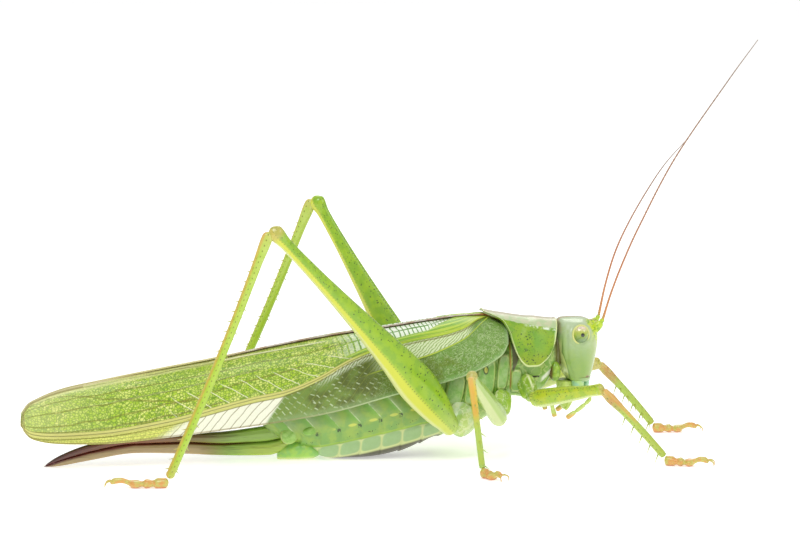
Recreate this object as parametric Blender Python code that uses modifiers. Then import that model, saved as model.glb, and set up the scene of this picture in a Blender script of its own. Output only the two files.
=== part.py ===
"""Great green bush-cricket, an adult female, standing at life size as a still museum model.

Modelled in millimetres, one unit each, with +X towards the head, +Y to the animal's left and +Z up.
The last step shrinks the finished meshes to metres and centres them over the origin, with the feet,
the belly and the tip of the ovipositor on the floor at Z = 0. Each node keeps GAP to its neighbours.
"""

import math

import bmesh
import bpy
from mathutils import Matrix, Vector

MM = 0.001
GAP = 0.3
SHEET = 0.5
SIDES = (("right", -1), ("left", 1))

# Colours of the living animal, as linear RGB, with roughness.
COLOURS = {
    "leaf_green": ((0.23, 0.46, 0.06), 0.35),
    "pale_green": ((0.30, 0.50, 0.16), 0.32),
    "wing_green": ((0.26, 0.42, 0.05), 0.30),
    "leg_green": ((0.36, 0.55, 0.04), 0.38),
    "foot_orange": ((0.62, 0.32, 0.09), 0.40),
    "feeler_orange": ((0.55, 0.24, 0.07), 0.45),
    "ovipositor_brown": ((0.20, 0.13, 0.05), 0.30),
    "eye_green": ((0.30, 0.36, 0.12), 0.15),
}


# General tools


def material(name):
    """The Principled material of one colour of the animal."""
    if name in bpy.data.materials:
        return bpy.data.materials[name]
    colour, roughness = COLOURS[name]
    made = bpy.data.materials.new(name)
    made.use_nodes = True
    shader = made.node_tree.nodes["Principled BSDF"]
    shader.inputs["Base Color"].default_value = (*colour, 1.0)
    shader.inputs["Roughness"].default_value = roughness
    shader.inputs["Metallic"].default_value = 0.0
    return made


def between(table, at):
    """Reads a table of (place, value, ...) rows at a place, smoothly, without overshoot."""
    rows = sorted(table)
    if at <= rows[0][0]:
        return list(rows[0][1:])
    if at >= rows[-1][0]:
        return list(rows[-1][1:])
    k = min(max(i for i, row in enumerate(rows) if row[0] <= at), len(rows) - 2)
    low, high = rows[k], rows[k + 1]
    span = high[0] - low[0]
    t = (at - low[0]) / span
    t2, t3 = t * t, t * t * t
    values = []
    for c in range(1, len(low)):
        slope = (high[c] - low[c]) / span
        before = slope
        if k > 0:
            before = (low[c] - rows[k - 1][c]) / (low[0] - rows[k - 1][0])
        after = slope
        if k + 2 < len(rows):
            after = (rows[k + 2][c] - high[c]) / (rows[k + 2][0] - high[0])
        m0 = (before + slope) / 2 if before * slope > 0 else 0.0
        m1 = (slope + after) / 2 if slope * after > 0 else 0.0
        m0, m1 = (math.copysign(min(abs(m), 3 * abs(slope)), m) for m in (m0, m1))
        start = (2 * t3 - 3 * t2 + 1) * low[c] + (t3 - 2 * t2 + t) * span * m0
        values.append(start + (3 * t2 - 2 * t3) * high[c] + (t3 - t2) * span * m1)
    return values


def spread(first, last, count):
    """count numbers from first to last, evenly."""
    return [first + (last - first) * i / (count - 1) for i in range(count)]


def power(value, exponent):
    """value to an exponent, keeping its sign: the arms of a superellipse."""
    return math.copysign(abs(value) ** exponent, value)


def clamp(value):
    return min(max(value, 0.0), 1.0)


def new_object(name, mesh, colour):
    mesh.name = name
    mesh.materials.clear()
    mesh.materials.append(material(colour))
    made = bpy.data.objects.new(name, mesh)
    bpy.context.scene.collection.objects.link(made)
    return made


def new_mesh(name, bm):
    bmesh.ops.triangulate(bm, faces=bm.faces)
    mesh = bpy.data.meshes.new(name)
    bm.to_mesh(mesh)
    bm.free()
    return mesh


def loft(name, rings, colour):
    """A closed skin through rings of equal count, each end closed by a fan."""
    bm = bmesh.new()
    laid = [[bm.verts.new(p) for p in ring] for ring in rings]
    count = len(rings[0])
    for near, far in zip(laid, laid[1:]):
        for i in range(count):
            j = (i + 1) % count
            bm.faces.new((near[i], near[j], far[j], far[i]))
    for ring in (laid[0], laid[-1]):
        middle = bm.verts.new(sum((v.co for v in ring), Vector()) / count)
        for i in range(count):
            bm.faces.new((ring[i], ring[(i + 1) % count], middle))
    bmesh.ops.recalc_face_normals(bm, faces=bm.faces)
    return new_object(name, new_mesh(name, bm), colour)


def limb_rings(stations, side, count):
    """Rings along a bent limb. A station is (point, up, down, half width): the ring reaches up and
    down from the point across the limb, and half a width to each side."""
    points = [Vector(s[0]) for s in stations]
    rings = []
    for i, (_, up, down, half) in enumerate(stations):
        along = (points[min(i + 1, len(points) - 1)] - points[max(i - 1, 0)]).normalized()
        over = along.cross(Vector(side)).normalized()
        across = over.cross(along).normalized()
        ring = []
        for k in range(count):
            turn = 2 * math.pi * (k + 0.5) / count
            height = math.sin(turn) * (up if math.sin(turn) > 0 else down)
            ring.append(points[i] + over * height + across * math.cos(turn) * half)
        rings.append(ring)
    return rings


def limb(name, stations, side, colour, count=8):
    return loft(name, limb_rings(stations, side, count), colour)


def round_stations(points, radii):
    return [(p, r, r, r) for p, r in zip(points, radii)]


def smooth_path(points, count):
    """count points on a smooth curve through the given ones."""
    rows = [(i, *p) for i, p in enumerate(points)]
    return [Vector(between(rows, t)) for t in spread(0, len(points) - 1, count)]


def mirrored(point, sign):
    return Vector((point[0], point[1] * sign, point[2]))


def replace_mesh(target, bm):
    bm.to_mesh(target.data)
    bm.free()
    target.data.update()


def keep_largest(target):
    """Leaves only the largest closed surface, so that no scrap of a cut stays."""
    bm = bmesh.new()
    bm.from_mesh(target.data)
    seen, bodies = set(), []
    for start in bm.faces:
        if start in seen:
            continue
        body, todo = [], [start]
        seen.add(start)
        while todo:
            face = todo.pop()
            body.append(face)
            for edge in face.edges:
                fresh = [other for other in edge.link_faces if other not in seen]
                seen.update(fresh)
                todo.extend(fresh)
        bodies.append(body)
    bodies.sort(key=lambda body: sum(face.calc_area() for face in body))
    scraps = {v for body in bodies[:-1] for face in body for v in face.verts}
    bmesh.ops.delete(bm, geom=list(scraps), context="VERTS")
    replace_mesh(target, bm)


def evaluated_mesh(target):
    bpy.context.view_layer.update()
    graph = bpy.context.evaluated_depsgraph_get()
    return bpy.data.meshes.new_from_object(target.evaluated_get(graph))


def swap_mesh(target, mesh):
    old = target.data
    target.modifiers.clear()
    target.data = mesh
    bpy.data.meshes.remove(old)


def boolean(target, others, operation):
    """Applies one Boolean of a collection of closed meshes to target, and removes the collection."""
    tools = bpy.data.collections.new("tools")
    bpy.context.scene.collection.children.link(tools)
    for other in others:
        for home in list(other.users_collection):
            home.objects.unlink(other)
        tools.objects.link(other)
    modifier = target.modifiers.new("boolean", "BOOLEAN")
    modifier.operation = operation
    modifier.operand_type = "COLLECTION"
    modifier.collection = tools
    modifier.solver = "MANIFOLD"
    swap_mesh(target, evaluated_mesh(target))
    for other in others:
        bpy.data.meshes.remove(other.data)
    bpy.data.collections.remove(tools)
    bm = bmesh.new()
    bm.from_mesh(target.data)
    bmesh.ops.triangulate(bm, faces=bm.faces)
    bmesh.ops.dissolve_degenerate(bm, edges=bm.edges, dist=0.002)
    bmesh.ops.triangulate(bm, faces=bm.faces)
    replace_mesh(target, bm)
    keep_largest(target)
    return target


def grown(source, distance):
    """A copy of a closed mesh with its skin moved out evenly by distance."""
    bm = bmesh.new()
    bm.from_mesh(source.data)
    bm.normal_update()
    moved = [(v, v.co + v.normal * distance * min(v.calc_shell_factor(), 1.5)) for v in bm.verts]
    for v, place in moved:
        v.co = place
    return new_object("grown", new_mesh("grown", bm), "leaf_green")


def clear_of(target, *neighbours, gap=GAP):
    """Cuts target back until it faces each neighbour across the gap."""
    return boolean(target, [grown(n, gap) for n in neighbours], "DIFFERENCE")


def thorn(root, tip, radius, sides=5):
    """A spine from a root point to its sharp tip."""
    root, tip = Vector(root), Vector(tip)
    bm = bmesh.new()
    turn = (tip - root).to_track_quat("Z", "Y").to_matrix().to_4x4()
    place = Matrix.Translation((root + tip) / 2) @ turn
    length = (tip - root).length
    bmesh.ops.create_cone(
        bm, cap_ends=True, segments=sides, radius1=radius, radius2=0.0, depth=length, matrix=place
    )
    return new_object("thorn", new_mesh("thorn", bm), "leaf_green")


def ball(name, centre, radii, colour, segments=14, rings=8):
    bm = bmesh.new()
    place = Matrix.Translation(centre) @ Matrix.Diagonal((*radii, 1.0))
    bmesh.ops.create_uvsphere(bm, u_segments=segments, v_segments=rings, radius=1.0, matrix=place)
    return new_object(name, new_mesh(name, bm), colour)


# Trunk: prothorax, pterothorax and abdomen

# Each row is place along X, lowest height, highest height, half width.
PROTHORAX = ((17.3, 6.6, 12.4, 2.0), (18.5, 6.0, 13.0, 2.4), (20.0, 5.8, 13.1, 2.5), (21.5, 6.6, 13.0, 2.4),
             (22.6, 8.0, 12.9, 2.1), (23.6, 9.0, 12.6, 1.7))
PTEROTHORAX = ((10.6, 2.6, 11.4, 2.9), (11.6, 2.6, 11.8, 3.2), (13.0, 2.9, 12.1, 3.3), (14.6, 3.4, 12.3, 3.2),
               (15.8, 4.0, 12.3, 2.8), (17.0, 4.8, 12.1, 2.2))
ABDOMEN = ((10.3, 2.4, 11.0, 2.9), (9.6, 1.8, 11.1, 3.3), (7.4, 0.9, 11.0, 3.4), (4.7, 0.25, 10.7, 3.5),
           (2.0, 0.0, 10.3, 3.5), (-0.5, 0.0, 9.7, 3.35), (-2.2, 0.3, 9.1, 3.1), (-3.2, 1.0, 8.7, 2.8),
           (-4.6, 1.8, 8.1, 2.3), (-6.2, 2.6, 7.3, 1.9), (-7.8, 3.5, 6.5, 1.4), (-8.8, 4.5, 5.8, 0.8))
TRUNK_SQUARENESS, TRUNK_WIDEST = 2.2, 0.42
ABDOMEN_PLATES = (8.3, 6.1, 3.9, 1.7, -0.5, -2.6, -4.4, -6.0)
# A plate swells to its edge from PLATE_RISE ahead of it, and falls to the next one in PLATE_FALL.
PLATE_STEP, PLATE_RISE, PLATE_LIP, PLATE_FALL = 0.14, 0.9, 0.02, 0.22
BEHIND_PLATES = -7.8


def trunk_ring(x, low, high, half, count=20):
    """A ring round the trunk, from its lowest to its highest height."""
    middle = low + (high - low) * TRUNK_WIDEST
    ring = []
    for k in range(count):
        turn = 2 * math.pi * (k + 0.5) / count
        reach = (high - middle) if math.sin(turn) > 0 else (middle - low)
        away = half * power(math.cos(turn), 2 / TRUNK_SQUARENESS)
        height = middle + reach * power(math.sin(turn), 2 / TRUNK_SQUARENESS)
        ring.append(Vector((x, away, height)))
    return ring


def trunk(name, table, count, colour):
    rows = sorted(table)
    places = spread(rows[0][0], rows[-1][0], count)
    return loft(name, [trunk_ring(x, *between(rows, x)) for x in places], colour)


def abdomen():
    """The ringed abdomen. Each plate ends in a small step down to the next one towards the tail."""
    places = [ABDOMEN[0][0]]
    for edge in ABDOMEN_PLATES:
        places += [edge + PLATE_RISE, edge + PLATE_LIP, edge - PLATE_FALL]
    places += [BEHIND_PLATES, ABDOMEN[-1][0]]
    rings = []
    for x in places:
        low, high, half = between(ABDOMEN, x)
        on_edge = any(abs(x - edge) < 2 * PLATE_LIP for edge in ABDOMEN_PLATES)
        swell = PLATE_STEP if on_edge else 0.0
        rings.append(trunk_ring(x, low, high + swell / 2, half + swell))
    return loft("abdomen", rings, "pale_green")


def build_trunk():
    prothorax = trunk("prothorax", PROTHORAX, 8, "pale_green")
    pterothorax = trunk("pterothorax", PTEROTHORAX, 9, "pale_green")
    rear = abdomen()
    clear_of(prothorax, pterothorax)
    clear_of(rear, pterothorax)
    return {"prothorax": prothorax, "pterothorax": pterothorax, "abdomen": rear}


# Shields: an arched sheet bent over the back, for the pronotum and the wings


def arch(top, depth, half, angle, squareness):
    """A point of an arched section, from the ridge at angle 0 to the low side at a quarter turn."""
    away = half * power(math.sin(angle), 2 / squareness)
    return away, top - depth * (1 - power(math.cos(angle), 2 / squareness))


def sheet(name, grid, thickness, colour):
    """A closed sheet: the grid is its outer face, and thickness is laid inwards from it."""
    bm = bmesh.new()
    rows = [[bm.verts.new(p) for p in row] for row in grid]
    for a, b in zip(rows, rows[1:]):
        for i in range(len(a) - 1):
            bm.faces.new((a[i], a[i + 1], b[i + 1]))
            bm.faces.new((a[i], b[i + 1], b[i]))
    made = new_object(name, new_mesh(name, bm), colour)
    wall = made.modifiers.new("wall", "SOLIDIFY")
    wall.thickness = thickness
    wall.offset = -1.0
    swap_mesh(made, evaluated_mesh(made))
    bm = bmesh.new()
    bm.from_mesh(made.data)
    bmesh.ops.recalc_face_normals(bm, faces=bm.faces)
    bmesh.ops.triangulate(bm, faces=bm.faces)
    replace_mesh(made, bm)
    return made


# Place along the ridge: height of the ridge, half width, and lowest height of the side lobe.
PRONOTUM = ((23.2, 14.17, 3.1, 12.0), (22.9, 14.2, 3.12, 10.7), (22.4, 14.25, 3.2, 9.95),
            (21.7, 14.33, 3.3, 9.5), (20.9, 14.45, 3.4, 9.5), (20.0, 14.5, 3.45, 10.0),
            (19.3, 14.6, 3.5, 10.9), (18.65, 14.7, 3.55, 12.05), (18.1, 14.8, 3.6, 13.2),
            (17.4, 14.93, 3.65, 14.15), (16.8, 15.03, 3.65, 14.6), (16.0, 15.2, 3.6, 14.95),
            (15.2, 15.37, 3.4, 15.25))
PRONOTUM_DEPTH = 7.0
PRONOTUM_SLANT = 0.25
PRONOTUM_SQUARE = 2.5
PRONOTUM_STATIONS = 16


def pronotum():
    """The saddle-shaped shield over the prothorax, with a rounded lobe down each side."""
    grid = []
    for x in spread(PRONOTUM[0][0], PRONOTUM[-1][0], PRONOTUM_STATIONS):
        top, half, lobe = between(PRONOTUM, x)
        last = math.acos((1 - clamp((top - lobe) / PRONOTUM_DEPTH)) ** (PRONOTUM_SQUARE / 2))
        half_row = []
        for angle in spread(0, last, 9):
            away, height = arch(top, PRONOTUM_DEPTH, half, angle, PRONOTUM_SQUARE)
            half_row.append(Vector((x - PRONOTUM_SLANT * (top - height), away, height)))
        grid.append([mirrored(p, -1) for p in half_row[:0:-1]] + half_row)
    return sheet("pronotum", grid, SHEET, "leaf_green")


# Front wings and folded hind wings

# Along X: height of the ridge, height of the low edge, half width and squareness of the arch.
WING = ((17.6, 13.5, 12.0, 2.7, 2.2), (17.0, 13.7, 11.05, 3.1, 2.3), (16.2, 13.95, 10.45, 3.4, 2.4),
        (15.2, 14.3, 9.9, 3.7, 2.4), (13.5, 14.65, 9.2, 4.1, 2.5), (10.0, 14.5, 8.2, 4.35, 2.5),
        (5.3, 13.9, 7.2, 4.4, 2.4),
        (-1.0, 13.15, 5.6, 4.2, 2.3), (-6.0, 12.4, 4.7, 3.7, 2.2), (-12.0, 11.3, 3.9, 3.0, 2.1),
        (-19.3, 10.05, 3.1, 2.45, 2.0), (-25.6, 8.9, 2.65, 2.05, 1.9), (-29.7, 8.05, 2.75, 1.8, 1.9),
        (-31.8, 7.3, 3.05, 1.6, 1.9), (-32.9, 6.7, 3.5, 1.5, 1.9), (-33.5, 5.9, 4.2, 1.45, 1.9))
WING_FRONT, WING_TIP = 17.6, -33.5
WING_STATIONS = 20
# The doubled main vein, as a share of the way from the ridge to the low edge.
MAIN_VEIN = ((17.0, 0.26), (13.0, 0.34), (6.0, 0.45), (-1.0, 0.6), (-6.0, 0.74), (-15.0, 0.81),
             (-25.0, 0.87), (-33.5, 0.9))
UPPER_VEINS = (0.28, 0.64)
LOWER_VEINS = (0.5,)
VEIN_SPREAD = 0.07
# How far the ridge, the main vein and the low edge stand up, as shares of a plain vein's rise.
RIDGE_RISE, MAIN_RISE, EDGE_RISE = 0.5, 1.3, 0.5
ABOVE_MAIN, BELOW_MAIN, ABOVE_EDGE = 0.93, 0.1, 0.85
VEIN_RISE = 0.22
VEIN_ROUNDING = 1.6
# The left wing lies over the right one, past the middle, as far back as CROSSING_END.
UNDERLAP, UNDERLAP_END, UNDERLAP_EASE = 0.95, -32.0, 12.0
NARROWING = 0.35
PAST_MIDDLE, APART = 0.7, 0.2
CROSSING_END, CROSSING_EASE = -28.0, 14.0
# The share of the arch, from the ridge down, over which a wing is led across the middle.
LED_SHARE = 0.35
VEIN_FADE = 3.0


def vein_columns():
    """Shares from ridge to main vein, and on to the low edge, with how far each is raised."""
    upper = [(0.0, RIDGE_RISE)]
    for vein in UPPER_VEINS:
        upper += [(vein - VEIN_SPREAD, 0.0), (vein, 1.0), (vein + VEIN_SPREAD, 0.0)]
    upper += [(ABOVE_MAIN, 0.0), (1.0, MAIN_RISE)]
    lower = [(BELOW_MAIN, 0.0)]
    for vein in LOWER_VEINS:
        lower += [(vein - VEIN_SPREAD, 0.0), (vein, 1.0), (vein + VEIN_SPREAD, 0.0)]
    lower += [(ABOVE_EDGE, 0.0), (1.0, EDGE_RISE)]
    return upper, lower


def wing_places(front, tip, count):
    """Places along X, closer together at the rounded tip."""
    return [front + (tip - front) * math.sin(t * math.pi / 2) ** 1.08 for t in spread(0, 1, count)]


def tegmen(name, sign, underlap):
    """One leathery front wing: a sheet arched over the back, with its main veins raised.
    The two cross over the middle from the pronotum to the belly's end, one under the other."""
    upper, lower = vein_columns()
    grid = []
    for x in wing_places(WING_FRONT, WING_TIP, WING_STATIONS):
        top, low, half, squareness = between(WING, x)
        cover = clamp((x - CROSSING_END) / CROSSING_EASE)
        sunk = underlap * clamp((x - UNDERLAP_END) / UNDERLAP_EASE)
        top -= sunk
        half -= sunk * NARROWING
        rise_here = VEIN_RISE * clamp((x - WING_TIP) / VEIN_FADE)
        main = between(MAIN_VEIN, x)[0]
        start = PAST_MIDDLE * cover - APART * (1 - cover)
        shares = [(share * main, rise) for share, rise in upper]
        shares += [(main + share * (1 - main), rise) for share, rise in lower]
        blend_end, _ = arch(top, top - low, half, LED_SHARE * math.pi / 2, squareness)
        around = top - low + half
        row = []
        for k, (share, rise) in enumerate(shares):
            angle = share * math.pi / 2
            away, height = arch(top, top - low, half, angle, squareness)
            if away < blend_end:
                away = -start + (blend_end + start) * away / blend_end
            outward = Vector((0, math.sin(angle), math.cos(angle)))
            # A vein stands up only as far as its width allows, or the inner face would fold.
            beside = (shares[k - 1][0], shares[min(k + 1, len(shares) - 1)][0])
            step = min(abs(share - place) for place in beside if place != share) * around
            raised = rise * min(rise_here, VEIN_ROUNDING * step * step)
            row.append(mirrored(Vector((x, away, height)) + outward * raised, sign))
        grid.append(row if sign < 0 else row[::-1])
    return sheet(name, grid, SHEET, "wing_green")


HINDWING_FRONT, HINDWING_TIP = 12.0, -29.0
HINDWING_STATIONS, HINDWING_COLUMNS = 13, 5
PLEAT, PLEAT_FADE = 0.12, 9.0
# Behind the body the strip lies lower down, as shares of the arch, and closer to the front wing.
FREE_START, FREE_EASE = -4.0, 8.0
STRIP_FIRST, STRIP_LAST = 0.12, 0.38
FIRST_SHIFT, LAST_SHIFT = 0.23, 0.32
TIP_START, TIP_SHIFT = -22.0, 0.1
STRIP_CLEARANCE, CLOSER = 0.15, 0.45


def hindwing(name, sign):
    """The clear hind wing, folded like a fan into a narrow pleated strip under the front wing."""
    grid = []
    for x in wing_places(HINDWING_FRONT, HINDWING_TIP, HINDWING_STATIONS):
        top, low, half, squareness = between(WING, x)
        free = clamp((FREE_START - x) / FREE_EASE)
        inset = SHEET + GAP + STRIP_CLEARANCE + UNDERLAP * (1 - CLOSER * free)
        near_tip = clamp((TIP_START - x) / (TIP_START - HINDWING_TIP))
        first = STRIP_FIRST + FIRST_SHIFT * free
        last = STRIP_LAST + LAST_SHIFT * free - TIP_SHIFT * near_tip
        pleat = PLEAT * clamp((x - HINDWING_TIP) / PLEAT_FADE)
        row = []
        for k, share in enumerate(spread(first, last, HINDWING_COLUMNS)):
            angle = share * math.pi / 2
            away, height = arch(top, top - low, half, angle, squareness)
            inward = Vector((0, -math.sin(angle), -math.cos(angle)))
            depth = inset + (pleat if k % 2 else 0.0)
            point = Vector((x, away, height)) + inward * depth
            point.y = max(point.y, SHEET + GAP / 2)
            row.append(mirrored(point, sign))
        grid.append(row if sign < 0 else row[::-1])
    return sheet(name, grid, SHEET, "wing_green")


# Head and its parts

# Height, back, front, half width.
HEAD = ((7.5, 24.6, 26.75, 1.9), (8.2, 24.1, 27.0, 2.3), (9.4, 23.5, 27.3, 2.65),
        (10.8, 23.2, 27.58, 2.8), (12.0, 23.1, 27.7, 2.75), (12.9, 23.2, 27.7, 2.55),
        (13.5, 23.35, 27.3, 2.2), (14.0, 23.6, 26.7, 1.5), (14.2, 24.3, 25.9, 0.6))
# How round the head, lip and jaws are in front and at the sides, and how square the head is behind.
FACE_CURVE, CHEEK_CURVE, BACK_CURVE = 0.85, 0.9, 0.5
EYE_CENTRE = (25.55, 2.35, 12.75)
EYE_RADII = (0.98, 0.85, 1.12)
CROWN_CENTRE, CROWN_RADII = (27.1, 0.0, 13.4), (0.75, 0.42, 0.5)
# The first joint of the left feeler leans a little further forward than that of the right one.
SCAPE_ROOT = (26.9, 1.15, 12.8)
SCAPE_ENDS = {"right": (27.85, 1.35, 14.1), "left": (28.1, 1.35, 14.05)}
SCAPE_SHARES, SCAPE_RADII = (0.0, 0.35, 0.7, 0.82, 1.0), (0.42, 0.5, 0.48, 0.38, 0.33)
LABRUM = ((6.1, 26.05, 26.75, 0.7), (6.6, 25.95, 26.85, 1.0), (7.3, 25.95, 26.95, 1.35),
          (8.0, 26.05, 27.05, 1.45))
MANDIBLE = ((6.2, 24.9, 26.05, 0.5), (6.8, 24.8, 25.95, 0.75), (7.6, 24.7, 26.05, 0.8),
            (8.2, 24.8, 26.05, 0.6))
MANDIBLE_AWAY = 1.25
LABIUM = ((4.4, 23.9, 24.5, 0.6), (5.0, 23.7, 24.8, 0.95), (6.0, 23.5, 25.0, 1.2), (7.2, 23.4, 25.2, 1.35))
MAXILLARY_PALP = ((25.0, 1.7, 7.0), (25.9, 2.3, 6.5), (26.4, 2.7, 5.9), (25.7, 2.6, 5.1), (24.8, 2.5, 4.4),
                  (23.9, 2.4, 3.75))
LABIAL_PALP = ((24.0, 1.2, 5.9), (22.9, 1.9, 5.8), (22.4, 2.2, 5.2), (22.7, 2.2, 3.9))
PALP_RADIUS = 0.27
MAXILLARY_STATIONS, LABIAL_STATIONS = 12, 8


def face_ring(z, back, front, half, count, away, back_curve):
    centre, reach = (back + front) / 2, (front - back) / 2
    ring = []
    for k in range(count):
        turn = 2 * math.pi * (k + 0.5) / count
        side = away + half * power(math.sin(turn), CHEEK_CURVE)
        curve = FACE_CURVE if math.cos(turn) > 0 else back_curve
        ring.append(Vector((centre + reach * power(math.cos(turn), curve), side, z)))
    return ring


def upright(name, table, rings, count, colour, away=0.0, back_curve=FACE_CURVE):
    """A form through level rings, as the face, lip and jaws are."""
    heights = spread(table[0][0], table[-1][0], rings)
    made = [face_ring(z, *between(table, z), count, away, back_curve) for z in heights]
    return loft(name, made, colour)


def build_head(parts):
    """The tall face with the narrow knob of the crown between the feelers, and what it carries."""
    head = upright("head", HEAD, 15, 22, "pale_green", back_curve=BACK_CURVE)
    crown = ball("crown", CROWN_CENTRE, CROWN_RADII, "pale_green", 10, 7)
    boolean(head, [crown], "UNION")
    clear_of(head, parts["prothorax"])
    labrum = upright("labrum", LABRUM, 5, 12, "pale_green")
    clear_of(labrum, head)
    labium = upright("labium", LABIUM, 5, 12, "leaf_green")
    clear_of(labium, head)
    for side, sign in SIDES:
        eye = ball(f"eye_{side}", mirrored(EYE_CENTRE, sign), EYE_RADII, "eye_green")
        root, end = mirrored(SCAPE_ROOT, sign), mirrored(SCAPE_ENDS[side], sign)
        scape = round_stations([root.lerp(end, t) for t in SCAPE_SHARES], SCAPE_RADII)
        scape = limb(f"antenna_base_{side}", scape, (0, 1, 0), "leaf_green")
        clear_of(scape, head)
        boolean(head, [grown(eye, GAP / 2)], "DIFFERENCE")
        away = MANDIBLE_AWAY * sign
        mandible = upright(f"mandible_{side}", MANDIBLE, 6, 10, "pale_green", away)
        clear_of(mandible, head, labrum, labium)
        points = smooth_path([mirrored(p, sign) for p in MAXILLARY_PALP], MAXILLARY_STATIONS)
        stations = round_stations(points, [PALP_RADIUS] * MAXILLARY_STATIONS)
        palp = limb(f"maxillary_palp_{side}", stations, (0, 1, 0), "leg_green", 6)
        clear_of(palp, head, mandible, labium)
        points = smooth_path([mirrored(p, sign) for p in LABIAL_PALP], LABIAL_STATIONS)
        stations = round_stations(points, [PALP_RADIUS] * LABIAL_STATIONS)
        palp = limb(f"labial_palp_{side}", stations, (0, 1, 0), "leg_green", 6)
        clear_of(palp, labium)
    parts["head"] = head


# Feelers: points of each thread from its base to the tip.
FEELERS = {
    "right": ((27.95, -1.4, 14.45), (28.4, -2.3, 17.0), (29.4, -3.8, 20.5), (30.8, -5.8, 24.7),
              (33.6, -9.5, 32.0), (37.9, -13.5, 40.1), (40.5, -16.0, 44.8)),
    "left": ((28.25, 1.4, 14.4), (29.4, 3.0, 17.2), (31.2, 6.0, 20.2), (33.7, 10.4, 22.6),
             (37.2, 16.4, 25.2), (41.0, 22.4, 27.7), (45.4, 28.4, 30.0)),
}
FEELER_RADIUS, FEELER_TIP = 0.27, 0.12
FEELER_STATIONS, TAPERED_STATIONS = 22, 7


def antenna(side):
    """A long thread, of even thickness until it tapers to its tip."""
    stations = []
    for i, p in enumerate(smooth_path(FEELERS[side], FEELER_STATIONS)):
        taper = clamp((FEELER_STATIONS - 1 - i) / TAPERED_STATIONS)
        radius = FEELER_TIP + (FEELER_RADIUS - FEELER_TIP) * taper
        stations.append((p, radius, radius, radius))
    return limb(f"antenna_{side}", stations, (0, 1, 0), "feeler_orange", 6)


# Ovipositor and the end of the abdomen

# Along X: lower edge, groove between the valves, upper edge, half thickness.
OVIPOSITOR = ((-5.0, 1.9, 2.9, 3.9, 0.7), (-7.7, 0.5, 2.0, 3.65, 0.75), (-12.5, 0.65, 1.9, 3.15, 0.7),
              (-17.1, 1.0, 2.2, 3.1, 0.6), (-21.8, 1.2, 2.2, 2.95, 0.5), (-26.5, 0.6, 1.5, 2.3, 0.4),
              (-29.4, 0.15, 0.8, 1.35, 0.3), (-31.3, 0.0, 0.4, 0.55, 0.2))
UPPER_VALVE, LOWER_VALVE, VALVE_STATIONS = (-6.5, -30.4), (-6.5, -31.3), 16
CERCUS = ((-7.6, 1.0, 5.2), (-8.8, 1.35, 5.1), (-9.8, 1.5, 4.9), (-10.8, 1.45, 4.6))
CERCUS_RADII = (0.42, 0.45, 0.36, 0.12)
VALVE_FLATNESS, VALVE_ROUNDING, VALVE_LEAST = 0.6, 0.8, 0.12
SUBGENITAL = ((-2.6, 0.15, 1.6, 1.5), (-3.6, 0.05, 2.0, 1.65), (-5.2, 0.0, 1.9, 1.35), (-6.6, 0.1, 1.2, 0.6))


def valve(name, lower, rows, colour):
    """One valve of the sword: half of its height, parted from the other by the groove."""
    rings = []
    for x in rows:
        low, groove, high, half = between(OVIPOSITOR, x)
        slit = GAP / 2
        bottom, top = (low, groove - slit) if lower else (groove + slit, high)
        top = max(top, bottom + VALVE_LEAST)
        middle, reach = (bottom + top) / 2, (top - bottom) / 2
        ring = []
        for k in range(8):
            turn = 2 * math.pi * (k + 0.5) / 8
            across = half * power(math.cos(turn), VALVE_ROUNDING)
            ring.append(Vector((x, across, middle + reach * power(math.sin(turn), VALVE_FLATNESS))))
        rings.append(ring)
    return loft(name, rings, colour)


def build_tail(parts):
    """The sword-shaped ovipositor in two valves, the plate under its root and the two cerci."""
    plate = trunk("subgenital_plate", SUBGENITAL, 6, "leaf_green")
    clear_of(plate, parts["abdomen"])
    upper = valve("ovipositor_upper", False, spread(*UPPER_VALVE, VALVE_STATIONS), "ovipositor_brown")
    lower = valve("ovipositor_lower", True, spread(*LOWER_VALVE, VALVE_STATIONS), "ovipositor_brown")
    clear_of(upper, parts["abdomen"], plate)
    clear_of(lower, parts["abdomen"], plate)
    for side, sign in SIDES:
        stations = round_stations([mirrored(p, sign) for p in CERCUS], CERCUS_RADII)
        cercus = limb(f"cercus_{side}", stations, (0, 1, 0), "leaf_green", 7)
        clear_of(cercus, parts["abdomen"])


# Legs

# Share of the way along the femur: reach to the upper side, to the lower side, half width.
HIND_FEMUR = ((0.0, 0.75, 0.75, 0.7), (0.05, 1.35, 1.1, 0.95), (0.12, 2.0, 1.45, 1.15),
              (0.22, 2.45, 1.65, 1.2), (0.35, 2.15, 1.2, 1.05), (0.5, 1.65, 0.8, 0.85),
              (0.65, 1.2, 0.6, 0.7), (0.8, 0.85, 0.5, 0.58), (0.92, 0.7, 0.55, 0.5),
              (0.975, 0.85, 0.75, 0.6), (1.0, 0.6, 0.55, 0.42))
SHORT_FEMUR = ((0.0, 0.75, 0.7, 0.65), (0.12, 0.95, 0.9, 0.75), (0.3, 1.0, 0.95, 0.75),
               (0.6, 0.8, 0.75, 0.62), (0.85, 0.62, 0.6, 0.5), (0.95, 0.68, 0.66, 0.52),
               (1.0, 0.45, 0.45, 0.36))
HIND_TIBIA = ((0.0, 0.5, 0.6, 0.42), (0.04, 0.58, 0.65, 0.46), (0.12, 0.5, 0.52, 0.42),
              (0.5, 0.46, 0.46, 0.4), (0.92, 0.44, 0.44, 0.4), (1.0, 0.5, 0.5, 0.46))
MID_TIBIA = ((0.0, 0.45, 0.45, 0.38), (0.1, 0.5, 0.5, 0.42), (0.4, 0.46, 0.46, 0.38), (1.0, 0.42, 0.42, 0.38))
FRONT_TIBIA = ((0.0, 0.42, 0.45, 0.4), (0.08, 0.45, 0.48, 0.48), (0.18, 0.46, 0.48, 0.5),
               (0.32, 0.42, 0.42, 0.4), (1.0, 0.4, 0.4, 0.36))
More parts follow.
